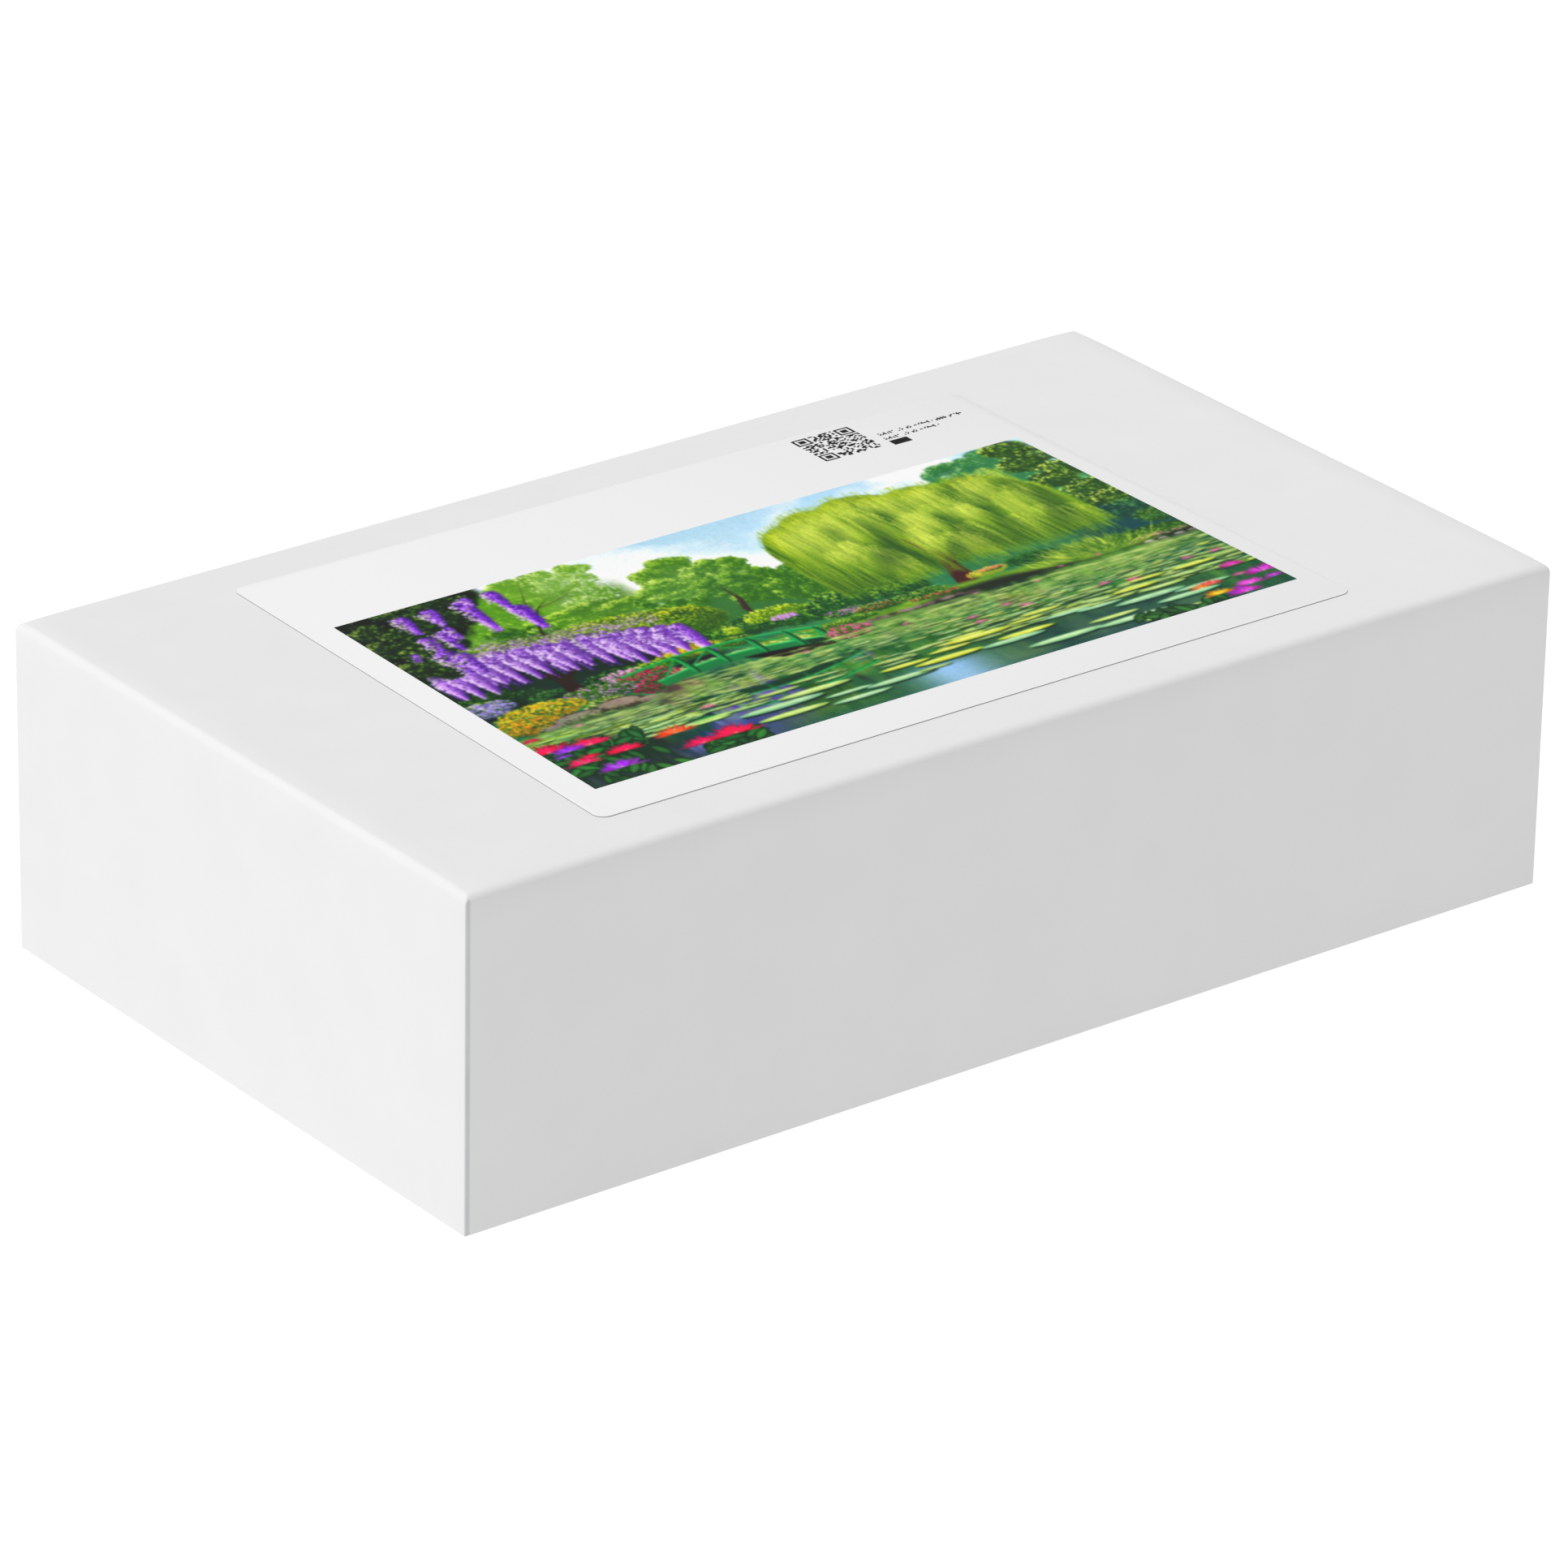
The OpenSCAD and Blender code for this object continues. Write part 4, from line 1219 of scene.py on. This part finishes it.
# ---- Small print on the label ----
# A square code, two lines of small type and a black block, in litho black, stand right above the
# picture. Here they are plain patterns of dots that say nothing.
def stamp(name, low, high, across, down, inked):
    """Prints the inked cells of a grid that fills a rectangle of the label, in millimetres."""
    bpy.ops.object.select_all(action="DESELECT")
    bpy.ops.mesh.primitive_grid_add(
        x_subdivisions=across, y_subdivisions=down, size=1,
        location=((low[0] + high[0]) / 2 * MM, (low[1] + high[1]) / 2 * MM, label_high[2] + 0.002 * MM),
    )
    print_mark = bpy.context.active_object
    print_mark.name = print_mark.data.name = name
    print_mark.scale = ((high[0] - low[0]) * MM, (high[1] - low[1]) * MM, 1)
    bpy.ops.object.transform_apply(location=True, rotation=True, scale=True)

    def bare(middle):
        column = int((middle.x / MM - low[0]) / (high[0] - low[0]) * across)
        row = int((middle.y / MM - low[1]) / (high[1] - low[1]) * down)
        return not inked(column, row)

    pick_faces(print_mark.data, bare)
    open_mesh()
    bpy.ops.mesh.delete(type="FACE")
    bpy.ops.mesh.select_all(action="SELECT")
    bpy.ops.mesh.extrude_region_move(TRANSFORM_OT_translate={"value": (0, 0, 0.014 * MM)})
    bpy.ops.mesh.select_all(action="SELECT")
    bpy.ops.mesh.normals_make_consistent(inside=False)
    close_mesh()
    return print_mark


modules = 27
print_chance = np.random.default_rng(4)
spread = print_chance.random((modules, modules)) < 0.5
strokes = print_chance.random((3, 80)) < 0.62


def code_cell(column, row):
    """Three ringed squares in the corners, and every other cell by chance."""
    for c, r in ((3, modules - 4), (modules - 4, modules - 4), (3, 3)):
        ring = max(abs(column - c), abs(row - r))
        if ring <= 4:
            return ring in (0, 1, 3)
    return spread[row, column]


def type_cell(column, row):
    """Short strokes in words, with a gap after each word."""
    return column % 13 < 11 and (column % 2 == 0 or row == 1) and strokes[row, column]


small_print = [
    stamp("code", (53.5, 57.0), (70.4, 71.4), modules, modules, code_cell),
    stamp("type", (73.6, 62.3), (98.8, 63.7), 62, 3, type_cell),
    stamp("type", (73.2, 59.5), (90.4, 60.9), 42, 3, type_cell),
    stamp("block", (73.2, 55.9), (78.4, 58.6), 2, 2, lambda column, row: True),
]
bpy.ops.object.select_all(action="DESELECT")
for print_mark in small_print:
    print_mark.select_set(True)
bpy.context.view_layer.objects.active = small_print[0]
bpy.ops.object.join()
marks = small_print[0]
marks.name = marks.data.name = "label_small_print"
cut_to_shape(marks.data)


def black_ink():
    """Litho black on coated paper: a thin, slightly warm black with some of the paper's white
    showing through, and little shine."""
    material, tree, shader = new_material("litho_black_ink")
    place = add_node(tree, "ShaderNodeTexCoord")
    thin = add_node(tree, "ShaderNodeTexNoise", {"Scale": 1500, "Detail": 2}, Vector=(place, "Object"))
    tone = add_node(tree, "ShaderNodeValToRGB", None, Fac=thin)
    tone.color_ramp.elements[0].color = linear("#0a0a0a")
    tone.color_ramp.elements[1].color = linear("#1f1e1d")
    tree.links.new(tone.outputs[0], shader.inputs["Base Color"])
    shader.inputs["Roughness"].default_value = 0.5
    shader.inputs["Specular IOR Level"].default_value = 0.12
    return material


marks.data.materials.append(black_ink())
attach(marks, "lid")

# ---- Tray board ----
# The tray is cut, scored and folded from the same greyboard as the lid, mouth upwards. Its bare
# grey inside shows once the lid is off.
tray_low, tray_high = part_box("base_board")
tray_board = fold_tray("folded_tray_board", tray_low, tray_high, 1, (0, fold_round / 2), board_slices)
cut_corners(tray_board, tray_high, tray_low[2])
finish_shell(tray_board, board, -1)
tray_board.data.materials.append(board_grey)
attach(tray_board, "base")
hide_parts("base_board")

# ---- Tray wrap ----
# The same white paper, glued round the tray, turned in 16 mm over its rim and 15 mm under its
# floor, where its four flaps leave a window that the bottom sheet fills.
turn_under = 15 * MM
sleeve_low, sleeve_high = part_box("base_wrap")
tray_wrap = fold_tray(
    "tray_paper_wrap", sleeve_low, sleeve_high, 1, (upright_round, fold_round / 2), 12 * MM)
window_x, window_y = sleeve_high[0] - turn_under, sleeve_high[1] - turn_under
open_mesh()
slice_mesh([((window_x, 0, 0), (1, 0, 0)), ((-window_x, 0, 0), (1, 0, 0)),
            ((0, window_y, 0), (0, 1, 0)), ((0, -window_y, 0), (0, 1, 0))])
close_mesh()
pick_faces(tray_wrap.data, lambda middle: (
    abs(middle.x) < window_x and abs(middle.y) < window_y and middle.z < sleeve_low[2] + MM / 10))
open_mesh()
bpy.ops.mesh.delete(type="FACE")
close_mesh()
turn_in_rim(tray_wrap, sleeve_low, sleeve_high, sleeve_high[2], -1, lid_wall, turn_in)
finish_shell(tray_wrap, paper * 0.9, -1)
tray_wrap.data.materials.append(wrap_white)
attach(tray_wrap, "base")
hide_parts("base_wrap")

# ---- Bottom sheet ----
# A plain cut sheet of the same white paper, pasted under the tray between the turned-under flaps.
# It hides the bare board there, and keeps the shape that the frame gives it.
bottom_sheet = bpy.data.objects["base_bottom_sheet"]
bottom_sheet.data.materials.clear()
bottom_sheet.data.materials.append(wrap_white)

# ---- Puzzle pieces ----
# 252 pieces of 2 mm puzzle card in 21 columns and 12 rows, stamped with steel rule out of one sheet
# that is printed with the same picture. They lie in the bag in nine rough layers, many face down.
columns, rows = 21, 12
piece_w, piece_d, card = 26 * MM, 24 * MM, 2 * MM
kerf = 0.15 * MM
knob_small, knob_large, knob_slide = 2.6 * MM, 3.1 * MM, 1.6 * MM
head_out, neck_half = 1.15, 0.55
film, loose_gap = 0.1 * MM, 0.1 * MM
lean_max = 3.4
apart = 50 * MM

reach = max(
    math.hypot(max(piece_w, piece_d) / 2 + head_out * knob_large, knob_slide) + knob_large,
    math.hypot(piece_w, piece_d) / 2,
)
bag_low, bag_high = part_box("piece_bag")
heap_w = bag_high[0] - bag_low[0] - 2 * (film + loose_gap)
heap_d = bag_high[1] - bag_low[1] - 2 * (film + loose_gap)
spot = 2 * reach + loose_gap
across, deep = int(heap_w / spot), int(heap_d / spot)
layer_h = card * math.cos(math.radians(lean_max)) + 2 * reach * math.sin(math.radians(lean_max)) + loose_gap


def chance(number, low, high):
    """A value from low to high that depends only on the whole number given."""
    number += 1000
    for _ in range(4):
        number = number * 16807 % 2147483647
    return low + (high - low) * number / 2147483647


def seam_points(seam, tab, slide_way, half):
    """One side of a piece from corner to corner, as distances out from the seam and along it."""
    radius = chance(seam * 5 + 1, knob_small, knob_large)
    along = slide_way * chance(seam * 5 + 2, -knob_slide, knob_slide)
    grow = -kerf / 2 if tab else kerf / 2
    head, neck = radius + grow, neck_half * radius + grow
    open_angle = math.asin(neck / head)
    out = head_out * radius * (1 if tab else -1)
    turns = np.linspace(open_angle - math.pi, math.pi - open_angle, 8)
    if not tab:
        turns = math.pi + np.linspace(math.pi - open_angle, open_angle - math.pi, 8)
    arc = [(out + head * math.cos(t), along + head * math.sin(t)) for t in turns]
    return [(-kerf / 2, kerf / 2 - half), (-kerf / 2, along - neck)] + arc + [(-kerf / 2, along + neck)]


def piece_outline(column, row):
    """The outline of one piece around its middle, anticlockwise from its front right corner."""
    outline = []
    seams = (
        (column < columns - 1, 1 + 2 * (row * columns + column), 0, 1, 1, piece_w, piece_d),
        (row < rows - 1, 2 + 2 * (row * columns + column), 90, 1, -1, piece_d, piece_w),
        (column > 0, 1 + 2 * (row * columns + column - 1), 180, -1, -1, piece_w, piece_d),
        (row > 0, 2 + 2 * ((row - 1) * columns + column), 270, -1, 1, piece_d, piece_w),
    )
    for has_neighbour, seam, turn, way, slide_way, distance, length in seams:
        if has_neighbour:
            knob_way = -1 if chance(seam * 5, 0, 1) < 0.5 else 1
            side = seam_points(seam, way * knob_way > 0, slide_way, length / 2)
        else:
            side = [(-kerf / 2, kerf / 2 - length / 2)]
        c, s = round(math.cos(math.radians(turn))), round(math.sin(math.radians(turn)))
        outline += [((distance / 2 + x) * c - y * s, (distance / 2 + x) * s + y * c) for x, y in side]
    return outline


def heap_pose(column, row):
    """Where a piece lies in the bag: its spot and layer, its lean, its turn and which way up."""
    n = row * columns + column
    dealt = (n * 101 + 37) % (columns * rows)
    layer, in_layer = divmod(dealt, across * deep)
    j, i = divmod(in_layer, across)
    spare_w, spare_d = heap_w - across * spot, heap_d - deep * spot
    place = Vector((
        -heap_w / 2 + (i + 0.5) * spot + spare_w * (i + chance(n * 11 + 3, 0, 1)) / across,
        -heap_d / 2 + (j + 0.5) * spot + spare_d * (j + chance(n * 11 + 4, 0, 1)) / deep,
        bag_low[2] + film + loose_gap + (layer + 0.5) * layer_h,
    ))
    lean_way = math.radians(chance(n * 11 + 5, 0, 360))
    lean = math.radians(chance(n * 11 + 6, 0, lean_max))
    face_down = chance(n * 11 + 7, 0, 1) < 0.5
    spin = math.radians(chance(n * 11 + 8, 0, 360))
    return (
        Matrix.Translation(place)
        @ Matrix.Rotation(lean, 4, (math.cos(lean_way), math.sin(lean_way), 0))
        @ Matrix.Rotation(spin, 4, "Z")
        @ Matrix.Rotation(math.pi if face_down else 0, 4, "X")
    )


groups = {
    "corner_pieces": [(column, row) for column in (0, columns - 1) for row in (0, rows - 1)],
    "bottom_border_pieces": [(column, 0) for column in range(1, columns - 1)],
    "top_border_pieces": [(column, rows - 1) for column in range(1, columns - 1)],
    "left_border_pieces": [(0, row) for row in range(1, rows - 1)],
    "right_border_pieces": [(columns - 1, row) for row in range(1, rows - 1)],
}
for row in range(1, rows - 1):
    groups[f"inner_pieces_row_{row + 1}"] = [(column, row) for column in range(1, columns - 1)]

puzzle_print = printed_picture("litho_on_puzzle_card", 0.5)
heap_points = []
for node, places in groups.items():
    outlines = [piece_outline(column, row) for column, row in places]
    bpy.ops.object.select_all(action="DESELECT")
    bpy.ops.mesh.primitive_circle_add(vertices=len(outlines[0]), radius=MM, fill_type="NGON")
    group = bpy.context.active_object
    group.name = group.data.name = "stamped_" + node
    group.location = (0, 0, 0)
    open_mesh()
    for outline in outlines[1:]:
        bpy.ops.mesh.primitive_circle_add(vertices=len(outline), radius=MM, fill_type="NGON")
    close_mesh()
    flat = [(x + k * apart, y, -card / 2) for k, outline in enumerate(outlines) for x, y in outline]
    group.data.vertices.foreach_set("co", np.array(flat, np.float32).ravel())
    open_mesh()
    bpy.ops.mesh.select_mode(type="FACE")
    bpy.ops.mesh.select_all(action="SELECT")
    bpy.ops.mesh.extrude_region_move(TRANSFORM_OT_translate={"value": (0, 0, card)})
    bpy.ops.mesh.select_all(action="SELECT")
    bpy.ops.mesh.normals_make_consistent(inside=False)
    close_mesh()
    pick_faces(group.data, lambda middle: middle.z > 0.45 * card)
    open_mesh()
    bpy.ops.mesh.hide(unselected=True)
    shares = (-0.3, -0.1, 0.1, 0.3)
    slice_mesh(
        [((k * apart + piece_w * share, 0, 0), (1, 0, 0)) for k in range(len(places)) for share in shares]
    )
    slice_mesh([((0, piece_d * share, 0), (0, 1, 0)) for share in shares])
    bpy.ops.mesh.reveal(select=False)
    close_mesh()
    mesh = group.data
    points = np.zeros(len(mesh.vertices) * 3, np.float32)
    mesh.vertices.foreach_get("co", points)
    points = points.reshape(-1, 3)
    which = np.round(points[:, 0] / apart).astype(int)
    order = np.array(places)[which]
    points[:, 0] -= which * apart
    lay_paint(
        mesh,
        ((order[:, 0] + 0.5) * piece_w + points[:, 0]) / (columns * piece_w),
        1 - ((order[:, 1] + 0.5) * piece_d + points[:, 1]) / (rows * piece_d),
    )
    mesh.materials.append(puzzle_print)
    mesh.materials.append(board_grey)
    for face in mesh.polygons:
        face.material_index = 0 if face.normal.z > 0.9 else 1
        face.use_smooth = False
    for k, place in enumerate(places):
        pose = np.array(heap_pose(*place))
        mine = which == k
        points[mine] = points[mine] @ pose[:3, :3].T + pose[:3, 3]
    mesh.vertices.foreach_set("co", points.ravel())
    mesh.update()
    heap_points.append(points)
    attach(group, "contents")
    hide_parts(node)
heap_points = np.concatenate(heap_points)

# ---- Bag ----
# A pouch of clear polypropylene film, filled by machine and welded shut at both ends. It rests on
# the tray's floor, lies on the topmost pieces, dips a little between them, and is creased all over.
swell = 1.2 * MM
film_step = 2.6 * MM
film_low = Vector((bag_low[0] - swell, bag_low[1] - swell, bag_low[2]))
film_high = Vector((bag_high[0] + swell, bag_high[1] + swell, bag_high[2] + MM))
bag = add_block("clear_film_bag", film_low, film_high)
for test, size, steps in ((upright_edge, 13 * MM, 9), (at_height(film_high[2]), 3.5 * MM, 3),
                          (at_height(film_low[2]), 2 * MM, 2)):
    pick_edges(bag.data, test)
    open_mesh()
    bpy.ops.mesh.bevel(offset=size, segments=steps, affect="EDGES")
    close_mesh()
open_mesh()
slice_mesh(even_planes(film_low, film_high, film_step))
close_mesh()

# the highest piece under each little square of the top, and around it
square = 3 * MM
shape = [int((bag_high[i] - bag_low[i]) / square) + 3 for i in (1, 0)]
tops = np.full(shape, bag_high[2] - 0.8 * layer_h)
cells = ((heap_points[:, :2] - np.array(bag_low[:2])) / square + 1).astype(int)
np.maximum.at(tops, (cells[:, 1], cells[:, 0]), heap_points[:, 2])


def around(field, rule):
    """The rule over each square and its eight neighbours."""
    edged = np.pad(field, 1, mode="edge")
    return rule([edged[a:shape[0] + a, b:shape[1] + b] for a in range(3) for b in range(3)], 0)


tops = around(around(tops, np.max), np.max)
held = tops
for _ in range(5):
    tops = np.maximum(around(tops, np.mean), held)


def crease(x, y, z, size, height):
    """A low ridge wherever a smooth random field passes through nought."""
    field = noise.noise(Vector((x / size, y / size, z / size)))
    return height * max(1 - abs(field) * 4.5, 0) ** 1.6


moved = []
for vertex in bag.data.vertices:
    x, y, z = vertex.co
    # the creases run along the pouch, and fan out from the welds
    fan = max(abs(x) - 95 * MM, 0) / (52 * MM)
    along, over = x * (0.4 + 0.5 * fan), y * (1 + 0.5 * fan)
    rise = (
        crease(along, over + 0.02, z * 0.6, 24 * MM, 1.5 * MM)
        + crease(along * 1.6, over + 0.3, z * 0.8, 12 * MM, 0.8 * MM)
        + crease(x + 0.7, y, z, 7 * MM, 0.3 * MM)
    )
    i = min(max((x - bag_low[0]) / square + 0.5, 0), shape[1] - 1.01)
    j = min(max((y - bag_low[1]) / square + 0.5, 0), shape[0] - 1.01)
    a, b, u, v = int(i), int(j), i % 1, j % 1
    top = (tops[b, a] * (1 - u) + tops[b, a + 1] * u) * (1 - v) + (
        tops[b + 1, a] * (1 - u) + tops[b + 1, a + 1] * u) * v + 0.45 * MM + rise * 1.5
    level = (z - film_low[2]) / (film_high[2] - film_low[2])
    inward = (0.9 * MM - rise * 0.6) * math.sin(math.pi * min(level * 1.1, 1)) * (1 - abs(vertex.normal.z))
    moved.append((x - vertex.normal.x * inward, y - vertex.normal.y * inward,
                  film_low[2] + level * (top - film_low[2])))
bag.data.vertices.foreach_set("co", np.array(moved, np.float32).ravel())
bag.data.update()


def clear_film():
    """Biaxially stretched polypropylene film, 0.05 mm: glass clear, glossy, with a faint milky haze
    where it is creased, and bright at a grazing look. It is thin, so it doesn't bend the view."""
    material, tree, shader = new_material("clear_polypropylene_film")
    place = add_node(tree, "ShaderNodeTexCoord")
    wrinkle = add_node(tree, "ShaderNodeTexNoise", {"Scale": 160, "Detail": 3}, Vector=(place, "Object"))
    bump = add_node(tree, "ShaderNodeBump", {"Strength": 0.5, "Distance": 0.0004}, Height=wrinkle)
    glance = add_node(tree, "ShaderNodeLayerWeight", {"Blend": 0.5}, Normal=bump)
    steep = add_node(tree, "ShaderNodeMath", {"operation": "POWER"}, _0=(glance, "Facing"))
    steep.inputs[1].default_value = 3.5
    share = add_node(tree, "ShaderNodeMapRange", {"To Min": 0.05, "To Max": 0.75}, Value=steep)
    clear = add_node(tree, "ShaderNodeBsdfTransparent")
    tree.links.new(bump.outputs[0], shader.inputs["Normal"])
    shader.inputs["Base Color"].default_value = linear("#f1f4f6")
    shader.inputs["Roughness"].default_value = 0.12
    shader.inputs["IOR"].default_value = 1.5
    shader.inputs["Specular IOR Level"].default_value = 1.0
    film_mix = add_node(tree, "ShaderNodeMixShader", None, Fac=share, _1=clear, _2=shader)
    tree.links.new(film_mix.outputs[0], tree.nodes["Material Output"].inputs["Surface"])
    return material


film_clear = clear_film()
finish_shell(bag, 0.06 * MM, 1)
bag.data.materials.append(film_clear)
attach(bag, "contents")
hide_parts("piece_bag")

# ---- Bag end welds ----
# At each end the film is pressed between ribbed hot jaws and chopped off in a zigzag. The two fins
# fold up over the ends of the pouch and lie on its top, a little lifted.
weld_w, weld_l, rib = 11 * MM, 132 * MM, 1.6 * MM
for end, side in (("left", -1), ("right", 1)):
    bpy.ops.object.select_all(action="DESELECT")
    bpy.ops.mesh.primitive_grid_add(x_subdivisions=14, y_subdivisions=240, size=1)
    weld = bpy.context.active_object
    weld.name = weld.data.name = f"bag_end_weld_{end}"
    for vertex in weld.data.vertices:
        u, v = vertex.co.x + 0.5, vertex.co.y
        y = v * weld_l * (1 - 0.05 * u)
        tooth = 0.7 * MM * abs((y / (3 * MM)) % 1 - 0.5) * 2 if u > 0.99 else 0
        out = u * weld_w - tooth
        wave = noise.noise(Vector((y * 28, side * 3.0, 0.5))) * 2.2 * MM
        ribbing = 0.16 * MM * math.sin(2 * math.pi * out / rib) * (0 if u < 0.12 else 1)
        lift = 0.5 * u ** 1.3
        vertex.co = (
            side * (bag_high[0] - 1.5 * MM - out * (1 - 0.12 * lift)),
            y,
            bag_high[2] + 2.2 * MM + (out * lift * 0.9 + wave * u) + ribbing,
        )
    if side > 0:
        open_mesh()
        bpy.ops.mesh.select_all(action="SELECT")
        bpy.ops.mesh.flip_normals()
        close_mesh()
    finish_shell(weld, 0.12 * MM, 0)
    weld.data.materials.append(film_clear)
    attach(weld, "contents")
